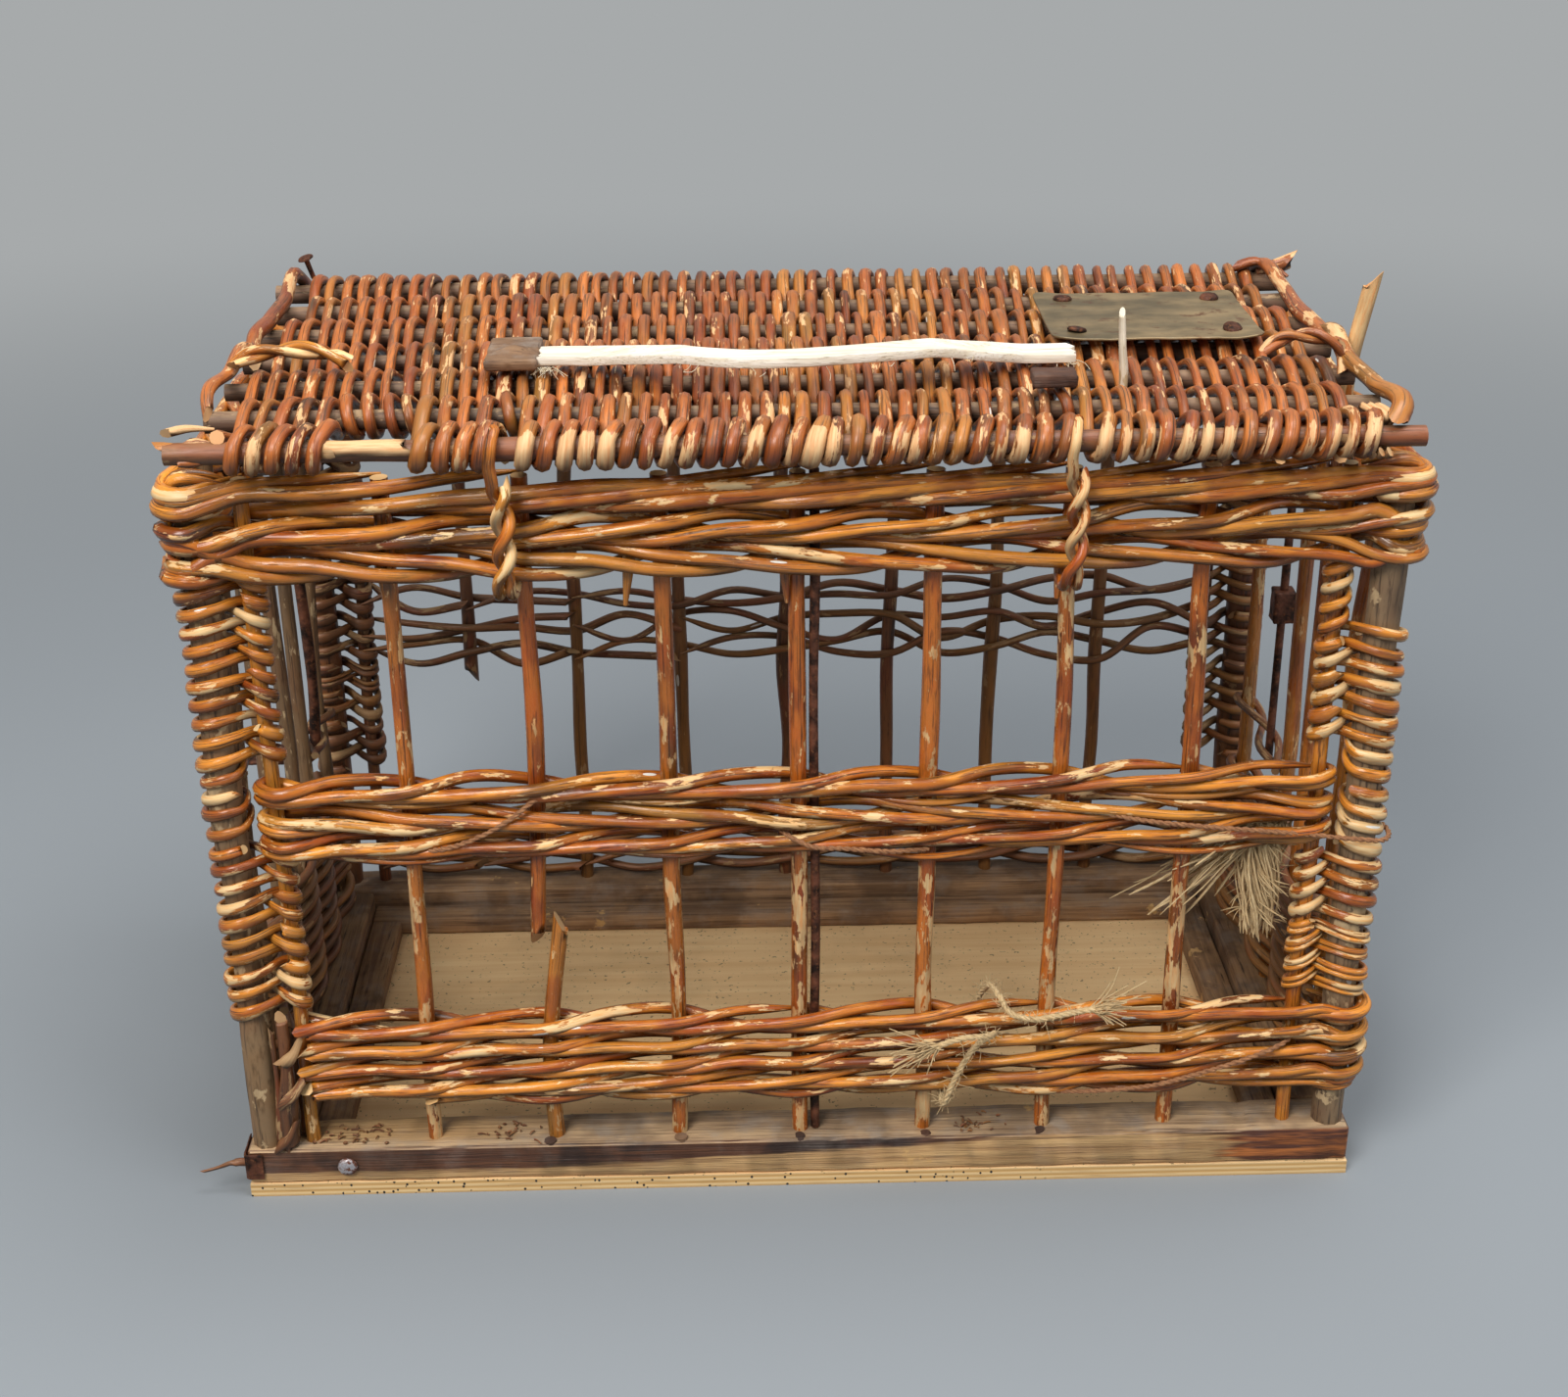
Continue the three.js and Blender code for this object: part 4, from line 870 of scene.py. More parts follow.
rear_up = Rods()
for x in STAKES_X[1:]:
    upright(rear_up, stand(x, WALL_Y, REAR_FOOT, STAKE_TOP), STAKE_R, bow=1.2)
for sign in (-1, 1):
    upright(rear_up, stand(sign * WALL_X, WALL_Y, REAR_FOOT, POST_TOP), POST_R, bow=0.5)
    upright(rear_up, stand(sign * CORNER_X, WALL_Y, REAR_FOOT, STAKE_TOP), CORNER_R)
rear_up.make("rear_uprights", old_willow, "basket")
lone_upright("rear_hanging_stake", stand(BROKEN_X, WALL_Y, 175, STAKE_TOP), STAKE_R, old_willow,
             "old_willow", "rear_broken_stake", tips=("slant", "cut"))
for side, sign, bars, finish in (("left", -1, LEFT_BARS, grey_willow),
                                 ("right", 1, RIGHT_BARS[1:], bare_willow)):
    ends = Rods()
    for y in (-END_Y, *bars, END_Y):
        upright(ends, stand(sign * WALL_X, y, REAR_FOOT, STAKE_TOP), STAKE_R, bow=1.0, shade=0.95)
    if sign > 0:
        y = RIGHT_BARS[0]
        upright(ends, [(WALL_X, y, REAR_FOOT), (WALL_X, y, 421), (WALL_X + 9, y, 471)], STAKE_R,
                tips=("cut", "slant"), peeled=[0, 0, 0, 0, 0, 0, 0.2, 0.7])
    ends.make(f"{side}_end_bars", finish, "basket")

# %% [markdown]
# ## Close weave of the ends
# Low on each end, one rod runs to and fro past the bars and turns round the outermost bar
# on each side. The lid is made in the same way, lying down. So one function weaves a rod
# through any row of sticks, and a second one gives the places on the wall or on the lid.

# %% To and fro weave
def to_and_fro(sticks, lines, radius, spot):
    """Places, sizes and turns of one rod that passes sticks [(where, radius)] in turn. lines
    is [(first stick, last stick, across, parity)]; spot(where, off, across) is a point."""
    places, sizes, over = [], [], []
    for k, (first, last, across, parity) in enumerate(lines):
        order = list(range(first, last + 1))[::-1 if k % 2 else 1]
        for j in order:
            side = 1 if (j + parity) % 2 == 0 else -1
            where, size = sticks[j]
            wobble = dice.normal(0, 0.35)
            places.append(spot(where, side * (size + radius * 0.88), across + wobble))
            sizes.append(radius * dice.uniform(0.94, 1.08))
            over.append(side > 0)
        if k + 1 == len(lines):
            break
        out = 1 if k % 2 == 0 else -1
        reach = size + radius * 0.92
        for quarter in (1, 2, 3):
            angle = quarter * math.pi / 4
            places.append(spot(where + out * reach * math.sin(angle), side * reach * math.cos(angle),
                               across + (lines[k + 1][2] - across) * quarter / 4))
            sizes.append(radius)
            over.append(True)
    return places, sizes, over


# %% End panels
PANEL_RADIUS, PANEL_STEP, PANEL_LOW, PANEL_HIGH = 2.9, 5.0, 34, 132
for side, sign, bars in (("left", -1, LEFT_BARS), ("right", 1, RIGHT_BARS)):
    panel = Rods()
    sticks = [(y, STAKE_R) for y in (-END_Y, *bars, END_Y)]
    rows = int((PANEL_HIGH - PANEL_LOW) / PANEL_STEP)
    k = 0
    while k < rows:
        together = min(rows - k, int(dice.integers(2, 5)))
        lines = [(0, len(sticks) - 1, PANEL_LOW + (k + n) * PANEL_STEP, k + n) for n in range(together)]
        places, sizes, _ = to_and_fro(sticks, lines, PANEL_RADIUS,
                                      lambda y, off, z: (sign * (WALL_X + off), y, z))
        panel.add(places, sizes, step=4.5)
        k += together
    panel.make(f"{side}_close_weave", old_willow, "basket", (f"{side}_end_panel",))

# %% [markdown]
# ## Corner binding
# A rod runs in a figure of eight round each post and the thin stake beside it, turn over
# turn, from the low band up to the border. From the front each turn shows twice, once on
# the post and once on the stake, and the two rows mesh like a plait.

# %% Corner binding
BINDING_TOP, BINDING_PITCH, BINDING_RADIUS = 352, 10.7, 2.0
POST_CLIMB = (0, -0.08, -0.12, -0.1, 0.0, 0.16, 0.35, 0.52, 0.6)
STAKE_CLIMB = (0.5, 0.38, 0.36, 0.42, 0.62, 0.85, 1.0)


def figure_of_eight(rods, side_x, side_y, low, post_only, stake_only, peeled):
    """Turns round a post and the stake beside it, in rods of a few turns each. A turn climbs
    as it passes in front and lies level behind. Some are of two thin rods. post_only and
    stake_only are heights between which the rod goes round one of the two alone."""
    spacing, radius = WALL_X - CORNER_X, BINDING_RADIUS
    post, stake = POST_R + radius * 0.95, CORNER_R + radius * 0.95
    cross = math.acos(min(0.97, (post + stake) / spacing))
    z, places, sizes, bare = low, [], [], []
    left = int(dice.integers(2, 5))
    while z < BINDING_TOP:
        tilt = dice.normal(0, 0.7)
        rounds = []
        if not stake_only[0] < z < stake_only[1]:
            rounds.append((0.0, post, -cross, -1, POST_CLIMB))
        if not post_only[0] < z < post_only[1]:
            rounds.append((spacing, stake, math.pi + cross, 1, STAKE_CLIMB))
        for middle, reach, start, way, climb in rounds:
            rubbed = max(0.0, dice.normal(peeled, 0.3))
            fit = dice.uniform(0.97, 1.08)
            for k, share in enumerate(climb):
                angle = start + way * (2 * math.pi - 2 * cross) * k / (len(climb) - 1)
                places.append((middle + fit * reach * math.cos(angle), -fit * reach * math.sin(angle),
                               z + BINDING_PITCH * share + tilt * math.sin(angle / 2)))
                sizes.append(radius * fit * (0.85 if k in (0, len(climb) - 1) else 1.0))
                bare.append(rubbed * (1.0 if 0.1 < share < 0.55 or share > 0.7 else 0.4))
        z += (BINDING_PITCH - 1.1 * (z - low) / (BINDING_TOP - low)) * dice.uniform(0.93, 1.09)
        left -= 1
        if (left == 0 or z >= BINDING_TOP) and len(places) > 3:
            points = np.array([(side_x * (WALL_X - x), side_y * (WALL_Y - y), h) for x, y, h in places])
            split = dice.uniform() < 0.16
            for shift, share in (((-1.8, 0.85), (1.6, 0.8)) if split else ((0.0, 1.0),)):
                rods.add(points + (0, 0, shift), np.array(sizes) * share, step=3.0, peeled=bare,
                         sides=10, flat=1.1 if split else 1.65, rough=0.1, tips=SLANTED)
            places, sizes, bare = [], [], []
            left = int(dice.integers(2, 5))


NOWHERE = (0, 0)
for name, side_x, side_y, low, post_only, stake_only, finish, slot in (
        ("front_left", -1, -1, 112, (197, 251), NOWHERE, varnished, "willow"),
        ("front_right", 1, -1, 112, (197, 251), (326, 352), varnished, "willow"),
        ("rear_left", -1, 1, 116, NOWHERE, NOWHERE, old_willow, "old_willow"),
        ("rear_right", 1, 1, 116, NOWHERE, NOWHERE, old_willow, "old_willow")):
    binding = Rods()
    figure_of_eight(binding, side_x, side_y, low, post_only, stake_only, 0.26 if side_x > 0 else 0.08)
    binding.make(f"{name}_binding", finish, "basket", (f"{name}_wrap",))

# %% [markdown]
# ## Small remains
# Old cords and bits of bark hang on the basket: a thin twisted binding through the middle
# band, stubs and split bark at the foot of the left post, plugs in the batten where older
# stakes stood, and a matted tuft of jute at the right. They are swept rods again, because
# each is a thin round thing that bends.

# %% Twisted bindings, stubs and plugs
bindings = Rods()
for line in (
        [(-198, -150, 209), (-180, -154.5, 213), (-163, -156.5, 220), (-146, -156.5, 230),
         (-131, -152, 240), (-116, -140, 240), (-92, -135.5, 232), (-66, -135, 226),
         (-36, -136, 221), (-14, -145, 219), (-4, -155, 216), (6, -157.5, 212),
         (22, -156.5, 210), (48, -155, 207), (66, -151, 206)],
        [(150, -151, 226), (176, -155, 222), (205, -156.8, 219), (236, -157.2, 216), (262, -157, 213),
         (284, -158.6, 211), (299, -156, 209), (304, -146, 208), (303, -136, 208)],
        [(130, -149, 54), (160, -154, 57), (190, -157, 62), (218, -158, 71), (240, -158, 79),
         (258, -154, 85), (268, -146, 88)]):
    yarns(bindings, smooth_line(line, 2.0)[0], 3.0, 8.0, count=2)
bindings.make("twisted_binding", bark_twist, "basket")

stubs = Rods()
for places, size, peel in (
        ([(-276, -151, 29), (-275, -152.5, 52), (-273.5, -151.5, 86), (-274, -150, 112)], 3.6, 0.0),
        ([(-281, -149, 29), (-279.5, -150.5, 60), (-280, -149.5, 104)], 2.8, 0.15),
        ([(-270, -138, 29), (-271, -137, 58), (-273, -139, 99)], 3.6, 0.0),
        ([(-283, -154, 31), (-277, -155, 37), (-271, -154, 49)], 2.6, 0.1),
        ([(-277, -155, 62), (-271, -155.5, 66), (-264.5, -152, 75)], 2.8, 0.1),
        ([(-276, -154, 84), (-270, -154.5, 89), (-265, -151, 98)], 2.4, 0.5),
        ([(-299, -151, 20), (-309, -152, 20.5), (-317, -152, 17.5), (-326, -153, 15.5)], 1.7, 0.0)):
    stubs.add(places, [size * 1.15, size, size * 0.7], sides=9, step=2.5, side_way=(1, 0.2, 0.1),
              rough=0.22, tips=SLANTED, peeled=peel)
for _ in range(90):
    x, y = dice.choice([-252, -236, -158, 96]) + dice.normal(0, 7), dice.uniform(-151, -134)
    way = np.array([dice.normal(0, 1.5), dice.normal(0, 1.2), dice.uniform(0, 0.7)])
    start = np.array([x, y, 30.1])
    stubs.add([start, start + way * 0.6 + (0, 0, 0.6), start + way * 1.3], dice.uniform(0.3, 0.75), sides=5,
              step=1.5, side_way=(0, 0.1, 1), rough=0.2)
stubs.make("bark_stubs", old_willow, "basket")

for name, finish, y, top, spots in (
        ("old_plugs", dark_fitting, -150.6, 30.0, ((1, -4), (3, -1), (4, 1), (5, -3))),
        ("pale_plug", fitting_timber, -150.8, 30.9, ((2, 1),))):
    plugs = Rods()
    for stake, beside in spots:
        x = STAKES_X[stake] + beside
        plugs.add([(x, y, 26), (x + 0.2, y, 29.0), (x, y, top)], [3.4, 3.5, 3.3], sides=12,
                  step=1.5, side_way=(1, 0, 0), rough=0.1)
    plugs.make(name, finish, "basket")

# %% Tuft of jute
TUFT_X, TUFT_Y = 243, -132
tuft = Rods()
for k in range(80):
    start = np.array([dice.uniform(234, 248), dice.uniform(-138, -131), dice.uniform(203, 211)])
    reach = dice.uniform(28, 68)
    way = reach * np.array([-dice.uniform(0.55, 0.95), dice.normal(0.05, 0.15), -dice.uniform(0.15, 0.85)])
    bend = dice.normal(0, 3, 3)
    tuft.add([start, start + way * 0.4 + (0, 0, 3) + bend * 0.5, start + way * 0.75 + bend,
              start + way + bend * 1.6], dice.uniform(0.35, 0.9), sides=5, step=5.0,
             side_way=(0.2, 0.9, 0.1), tips=POINTED)
for k in range(170):
    hank = dice.normal(0, 1, 2)
    turn, low = dice.uniform(0, 6.3), dice.uniform(138, 176)
    tuft.add([(TUFT_X + 3.5 * hank[0] + 4.2 * math.cos(turn + 1.1 * n),
               TUFT_Y + 3 * hank[1] + 4.2 * math.sin(turn + 1.1 * n), 210 - (210 - low) * n / 4)
              for n in range(5)], dice.uniform(0.35, 0.85), sides=5, side_way=(0.9, 0.3, 0.1),
             tips=POINTED)
for k in range(120):
    turn, z = dice.uniform(0, 6.3), dice.uniform(150, 205)
    reach = dice.uniform(6, 15)
    tuft.add([(TUFT_X + far * math.cos(turn + more), TUFT_Y + far * math.sin(turn + more), height)
              for far, more, height in ((5, 0, z), (5 + reach / 2, 0.4, z - 2),
                                        (4 + reach, 0.7, z - dice.uniform(3, 9)))],
             dice.uniform(0.2, 0.45), sides=4, side_way=(0.1, 0.2, 0.9), tips=POINTED)
tuft.make("jute_tuft", jute, "basket")

# %% [markdown]
# ## Iron and ties
# Thin iron rods stand beside the middle stakes and in the two ends, and one of them is a
# bolt with a spoon for a finger. Rods of iron are swept as the willow is. A nail is turned,
# so half of its outline is drawn and spun round, and each nail is a copy with its own mesh.

# %% Iron rods, the bolt and the ties
for name, places, radius, bow in (("front_iron", stand(8, -WALL_Y, 30.3, 409), 2.3, 0.3),
                                  ("rear_iron", stand(8, WALL_Y, 162, 409), 2.3, 0.3),
                                  ("right_iron", stand(WALL_X, ROD_Y, 150, 404), 2.5, 0.2)):
    lone_upright(name, places, radius, rust, "iron", f"{name}_rod", bow=bow)
bolt = Rods()
bolt.add([(-WALL_X - x, BOLT_Y, z) for x, z in (
    (0, 404), (0, 300), (0, 162), (0.8, 155), (4.8, 150.6), (12, 150), (26, 150))],
    3.2, sides=12, step=3.0, side_way=(0, 1, 0))
bolt.add([(-WALL_X - x, BOLT_Y, z) for x, z in (
    (23, 150), (27, 150.2), (33, 150.6), (39, 150.2), (43, 149.4), (45, 149.0))],
    [3.0, 4.6, 6.6, 6.6, 4.6, 1.6], sides=14, step=1.5, flat=0.42)
bolt.make("bolt_rod", rust, "bolt", ("left_bolt",))

for name, side, sticks, replaced in (
        ("bolt_tie", -1, [(LEFT_BARS[-1], STAKE_R), (BOLT_Y, 3.2), (END_Y, STAKE_R)], "left_bolt_tie"),
        ("rod_tie", 1, [(RIGHT_BARS[-1], STAKE_R), (ROD_Y, 2.5), (END_Y, STAKE_R)], "right_rod_tie")):
    tie = Rods()
    places, sizes, _ = to_and_fro(sticks, [(0, 2, 162.0, 0), (0, 2, 168.4, 1)], 2.4,
                                  lambda y, off, z: (side * (WALL_X + off), y, z))
    tie.add(places, sizes, step=3.0, peeled=0.1)
    tie.make(name, old_willow, "basket", (replaced,))

sleeve = box_between("square_sleeve", (WALL_X - 6.5, ROD_Y - 6.5, 246), (WALL_X + 6.5, ROD_Y + 6.5, 266))
bevel_edges(sleeve, 1.0)
for axis in (0, 1, 2):
    slice_along(sleeve, axis, 3.0)
wear(sleeve, 0.4, 120.0)
smooth_up_to(40)
settle(sleeve, rust, "basket", ("right_rod_sleeve",))

# %% Nails and the corner strap
def nail(head, thick, shank, length):
    """A clout nail that hangs head up at the origin, spun from half of its outline."""
    outline = [(0, -length), (shank * 0.5, -length + shank), (shank, -length + 2.5 * shank), (shank, 0),
               (head * 0.96, -0.1), (head, thick * 0.35), (head * 0.86, thick * 0.85),
               (head * 0.45, thick * 1.05), (0, thick * 1.1)]
    mesh = bpy.data.meshes.new("pattern")
    mesh.from_pydata([(r * MM, 0, z * MM) for r, z in outline],
                     [(i, i + 1) for i in range(len(outline) - 1)], [])
    made = bpy.data.objects.new("pattern", mesh)
    bpy.context.scene.collection.objects.link(made)
    bpy.ops.object.select_all(action="DESELECT")
    bpy.context.view_layer.objects.active = made
    made.select_set(True)
    bpy.ops.object.mode_set(mode="EDIT")
    bpy.ops.mesh.select_all(action="SELECT")
    bpy.ops.mesh.spin(steps=16, angle=2 * math.pi, center=(0, 0, 0), axis=(0, 0, 1))
    bpy.ops.mesh.select_all(action="SELECT")
    bpy.ops.mesh.remove_doubles(threshold=0.00002)
    bpy.ops.mesh.normals_make_consistent(inside=False)
    bpy.ops.object.mode_set(mode="OBJECT")
    for vert in mesh.vertices:
        dent = noise.noise(vert.co * 420.0 + Vector((head, 0, 0)))
        vert.co += vert.normal * dent * 0.35 * MM
    smooth_up_to(50)
    return made


def drive(shape, material, body, rows):
    """Copies of one nail. A row is a name, a place in millimetres, a lean and what it stands for."""
    pattern = nail(*shape)
    for name, place, lean, replaced in rows:
        made = pattern.copy()
        made.data = pattern.data.copy()
        made.name = made.data.name = name
        way = Matrix.Translation(Vector(place) * MM)
        for turn, axis in zip(lean, "XYZ"):
            way = way @ Matrix.Rotation(turn, 4, axis)
        made.data.transform(way)
        bpy.context.scene.collection.objects.link(made)
        settle(made, material, body, replaced)
    bpy.data.objects.remove(pattern)


drive((5.5, 2.0, 1.6, 9), rubbed_steel, "basket",
      [("batten_nail", (-246, -155.3, 19), (math.radians(90), 0, 0), ("rail_nail",))])

STRAP_END, STRAP_FRONT, STRAP_THICK = -291.3, -155.9, 1.2
bpy.ops.object.select_all(action="DESELECT")
bpy.ops.mesh.primitive_plane_add(size=1)
strap = bpy.context.object
strap.name = "bent_strap"
strap.data.clear_geometry()
strap.data.from_pydata([(STRAP_END * MM, STRAP_FRONT * MM, z * MM) for z in (12, 28)], [(0, 1)], [])
bpy.ops.object.mode_set(mode="EDIT")
bpy.ops.mesh.select_all(action="SELECT")
for step in ((-5, 0), (-3.3, 0.0), (-1.3, 0.9), (-0.3, 2.4), (0, 6), (0, 6), (0, 5.3)):
    bpy.ops.mesh.extrude_region_move(TRANSFORM_OT_translate={"value": (step[0] * MM, step[1] * MM, 0)})
bpy.ops.object.mode_set(mode="OBJECT")
wall = strap.modifiers.new("wall", "SOLIDIFY")
wall.thickness, wall.offset = STRAP_THICK * MM, 0.0
bpy.ops.object.modifier_apply(modifier="wall")
slice_along(strap, 2, 3.0)
bevel_edges(strap, 0.35)
wear(strap, 0.25, 150.0)
bpy.ops.object.mode_set(mode="EDIT")
bpy.ops.mesh.select_all(action="SELECT")
bpy.ops.mesh.normals_make_consistent(inside=False)
bpy.ops.object.mode_set(mode="OBJECT")
smooth_up_to(40)
settle(strap, rust, "basket", ("corner_strap",))

# %% Hinge loops
LOOPS_X = (-140.0, 130.0)
TWIST, TWIST_TURNS, HOOK = 3.2, 1.6, 10.0
for side_name, x, size, finish in (("left", LOOPS_X[0], 3.0, varnished),
                                   ("right", LOOPS_X[1], 2.5, bare_willow)):
    loop = Rods()
    for side in (-1, 1):
        strand = [(x + side * TWIST, -148.5, 354.0), (x + side * TWIST, -160.0, 353.4),
                  (x + side * TWIST * 0.9, -166.5, 357.5)]
        for k in range(1, 15):
            share = k / 14
            turn = (0 if side > 0 else math.pi) + share * TWIST_TURNS * 2 * math.pi
            strand.append((x + TWIST * math.cos(turn) + 1.5 * math.sin(3 * share),
                           -168.9 + TWIST * math.sin(turn) * 0.9, 361 + share * 52))
        for k in range(9 if side > 0 else 0):
            turn = math.radians(205 - 245 * k / 8)
            strand.append((x - TWIST + 2 * TWIST * k / 8, LID_FRONT + HOOK * math.cos(turn),
                           LID_Z + HOOK * math.sin(turn)))
        loop.add(strand, size, step=3.0, sides=9, side_way=(0.2, 1, 0.1), peeled=worn(0.15, 0.35, 8),
                 tips=SLANTED)
    loop.make(f"{side_name}_loop", finish, "basket", (f"{side_name}_hinge_loop",))

# %% [markdown]
# ## Lid
# The lid is seven long sticks with a rod woven across them. Seen from above, each stick
# carries a row of short bright humps, and dusty grey sticks show between them. The front
# edge is where the rods turn round the front stick, so there they stand side by side like
# the binding of a whip. They have lost their bark on the edge, and a stretch near the left
# end has lost its rods too.

# %% Lid sticks
LID_STICKS = [(LID_FRONT + (LID_REAR - LID_FRONT) * j / 6, 5.2 if j == 0 else 5.8 if j == 6 else 5.0)
              for j in range(7)]


def swell(radius):
    return radius * (1 + dice.normal(0, 0.03, 14))


for name, number, finish, slot, replaced in (
        ("lid_front_rod", 0, old_willow, "willow", "lid_front_stick"),
        ("lid_rear_rod", 6, dusty_willow, "old_willow", "lid_rear_stick")):
    rods = Rods()
    y, radius = LID_STICKS[number]
    rods.add([(x, y + (dice.normal(0, 0.4) if abs(x) < 292 else 0), LID_Z)
              for x in np.linspace(-293, 293, 14)], swell(radius), sides=12, step=6.0)
    rods.make(name, finish, "lid", (replaced,))
inner = Rods()
for y, radius in LID_STICKS[1:-1]:
    inner.add([(x, y + dice.normal(0, 0.6), LID_Z) for x in np.linspace(-284, 284, 14)],
              swell(radius), sides=10, step=6.0)
inner.make("lid_inner_rods", dusty_willow, "lid", ("lid_inner_sticks",))

edges = Rods()
for sign, first, last, out, size, front in ((-1, 1, 3, 281.0, 3.4, 6), (-1, 3, 6, 278.5, 4.3, 8),
                                            (1, 0, 3, 281.0, 4.7, -1), (1, 2, 6, 278.5, 4.2, 9)):
    row = LID_STICKS[first:last + 1]
    places = [(sign * (out + dice.normal(0, 0.7)), y + (2.5 if first == 0 and k == 0 else 0),
               LID_Z + radius + (4.2 if k % 2 == 0 else 5.4)) for k, (y, radius) in enumerate(row)]
    places.insert(0, (places[0][0] - sign * 1.5, row[0][0] - front,
                      LID_Z + row[0][1] + (2.5 if front < 0 else 0)))
    places.append((places[-1][0] - sign * 2.0, row[-1][0] + 9, LID_Z + row[-1][1] - 1.5))
    edges.add(places, [size * 0.9, size, size * 0.9], sides=10, tips=SLANTED,
              peeled=worn(0.12, 0.22, 9), side_way=(1, 0, 0), rough=0.1)


def edge_bit(places, size, tips=SLANTED, **more):
    """A loose bit of rod, whose places count from the axis of the lid's front stick."""
    edges.add([(x, LID_FRONT + y, LID_Z + z) for x, y, z in places], size, tips=tips, **more)


CURL = 9.0
edge_bit([(-224, -2.4, 2.0), (-200, -2.6, 2.3), (-178, -2.2, 2.0)], 4.4, peeled=1.0, rough=0.1, sides=9)
for x in (272.0, 275.8, 279.6):
    ring = [(x + 1.1 * turn / math.radians(60) - 2, CURL * math.cos(turn), CURL * math.sin(turn))
            for turn in np.radians(range(60, -180, -30))]
    edge_bit([(x - 5, 22, 8.5), (x - 3, 12, 9), *ring], 1.9, peeled=0.9, step=3.0, side_way=(1, 0, 0))
for reach, size, low in ((-294, 5.6, 0.4), (-288, 4.4, -3.5), (-283, 3.2, 3.6)):
    edge_bit([(reach, low * 0.6, low), (reach + 7, low * 0.5, low * 1.1), (reach + 16, low * 0.3, low)],
             [size, size * 1.05, size * 0.8], rough=0.25, step=2.0, sides=9, tips=("slant", "point"),
             peeled=0.12)
edge_bit([(-294, 7, 7.5), (-284, 8, 9.5), (-271, 10, 8.5)], 2.2, peeled=0.8, tips=("slant", "point"))
edge_bit([(262, 284, 10), (274, 283, 13.5), (286, 280, 10), (292, 276, 6)], 5.5, flat=0.5, rough=0.15,
         tips=("slant", "point"))
edge_bit([(276, 289, 6), (288, 290, 9), (299, 292, 12)], 3.6, rough=0.15, peeled=0.35,
         tips=("cut", "slant"))
for x, size in ((181, 2.6), (192, 2.2), (224, 2.8), (252, 2.4)):
    edge_bit([(x - 2, 14, -8.6), (x, 2, -8.8), (x + 0.6, -5, -8.4)], size, side_way=(1, 0, 0), step=3.0,
             tips=("cut", "slant"), rough=0.12)
edges.make("lid_edge_rods", lid_willow, "lid")

# %% Lid weave
LID_RADIUS, LID_STEP, LID_COUNT = 2.85, 4.79, 113
BARE_STRETCH = (-219.0, -181.0)
lid_lines = []
for k in range(LID_COUNT):
    x = (k - (LID_COUNT - 1) / 2) * LID_STEP + dice.normal(0, 0.5)
    held = min(abs(x - loop) for loop in LOOPS_X) < 7.5 or BARE_STRETCH[0] < x < BARE_STRETCH[1]
    lid_lines.append((1 if held else 0, 6, x, k))
places, sizes, over = to_and_fro(LID_STICKS, lid_lines, LID_RADIUS, lambda y, off, x: (x, y, LID_Z + off))
weave = Rods()
begin = 0
while begin < len(places) - 1:
    cut = begin + int(dice.integers(9, 26))
    while cut < len(places) - 1 and over[cut]:
        cut += 1
    cut = min(cut, len(places) - 1)
    part = places[begin:cut + 1]
    pale_front = max(0.0, dice.normal(0.18 + part[0][0] * 0.0003, 0.16))
    peel = [pale_front if place[1] < LID_FRONT - 2 else max(0.0, dice.normal(0.0, 0.1)) for place in part]
    wide = [size * (1.2 if place[1] < LID_FRONT + 3 else 1.0)
            for size, place in zip(sizes[begin:cut + 1], part)]
    weave.add(part, np.array(wide) * dice.uniform(0.88, 1.08), side_way=(1, 0, 0), step=4.2,
              peeled=peel, rough=0.08, flat=dice.uniform(0.95, 1.2))
    begin = cut
weave.make("lid_close_weave", lid_willow, "lid", ("lid_weave",))

# %% Withies over the ends of the lid
WITHY_Y, WITHY_Z = -66.7, 441.5
for name, x0, x1, size, finish in (("left_withy", -279.0, -221.0, 2.5, varnished),
                                   ("right_withy", 238.0, 277.0, 2.2, lid_willow)):
    withy = Rods()
    for k in range(2):
        places = []
        for i in range(11):
            share = i / 10
            turn = share * 2.3 * math.pi + k * math.pi
            bow = math.sin(share * math.pi)
            places.append((x0 + (x1 - x0) * share,
                           WITHY_Y + 4 * bow + 1.1 * size * math.cos(turn) * 0.9,
                           WITHY_Z + 6.5 * bow ** 0.6 + 0.9 * size * math.sin(turn)))
        withy.add(places, size, step=3.0, sides=9, tips=SLANTED, peeled=worn(0.1, 0.3, 6))
    withy.make(name, finish, "lid", (f"lid_{name}",))

# %% [markdown]
# ## What is on the lid
# A cream slat of split willow is the handle: it lies flat at its ends and bows up between
# them. A slat has flat faces and sharp splits, so it starts as a box that is cut along its
# length, and each cut is then moved to its place on the bow. A wooden keeper and a small
# block hold it. The metal plate is thin and old, held by four clout nails.

# %% Handle slat
SLAT_LEFT, SLAT_RIGHT, SLAT_FLAT = -126.0, 140.0, 24.0
SLAT_Y, SLAT_Z, SLAT_SIDEWAYS, SLAT_LIFT = -66.7, 442.3, 36, 8.6


def slat_bow(x):
    """How far the slat has bowed out at x, from 0 at its flat ends to 1 in its middle."""
    share = min(1.0, max(0.0, (x - SLAT_LEFT - SLAT_FLAT) / (SLAT_RIGHT - SLAT_LEFT - 2 * SLAT_FLAT)))
    return math.sin(share * math.pi)


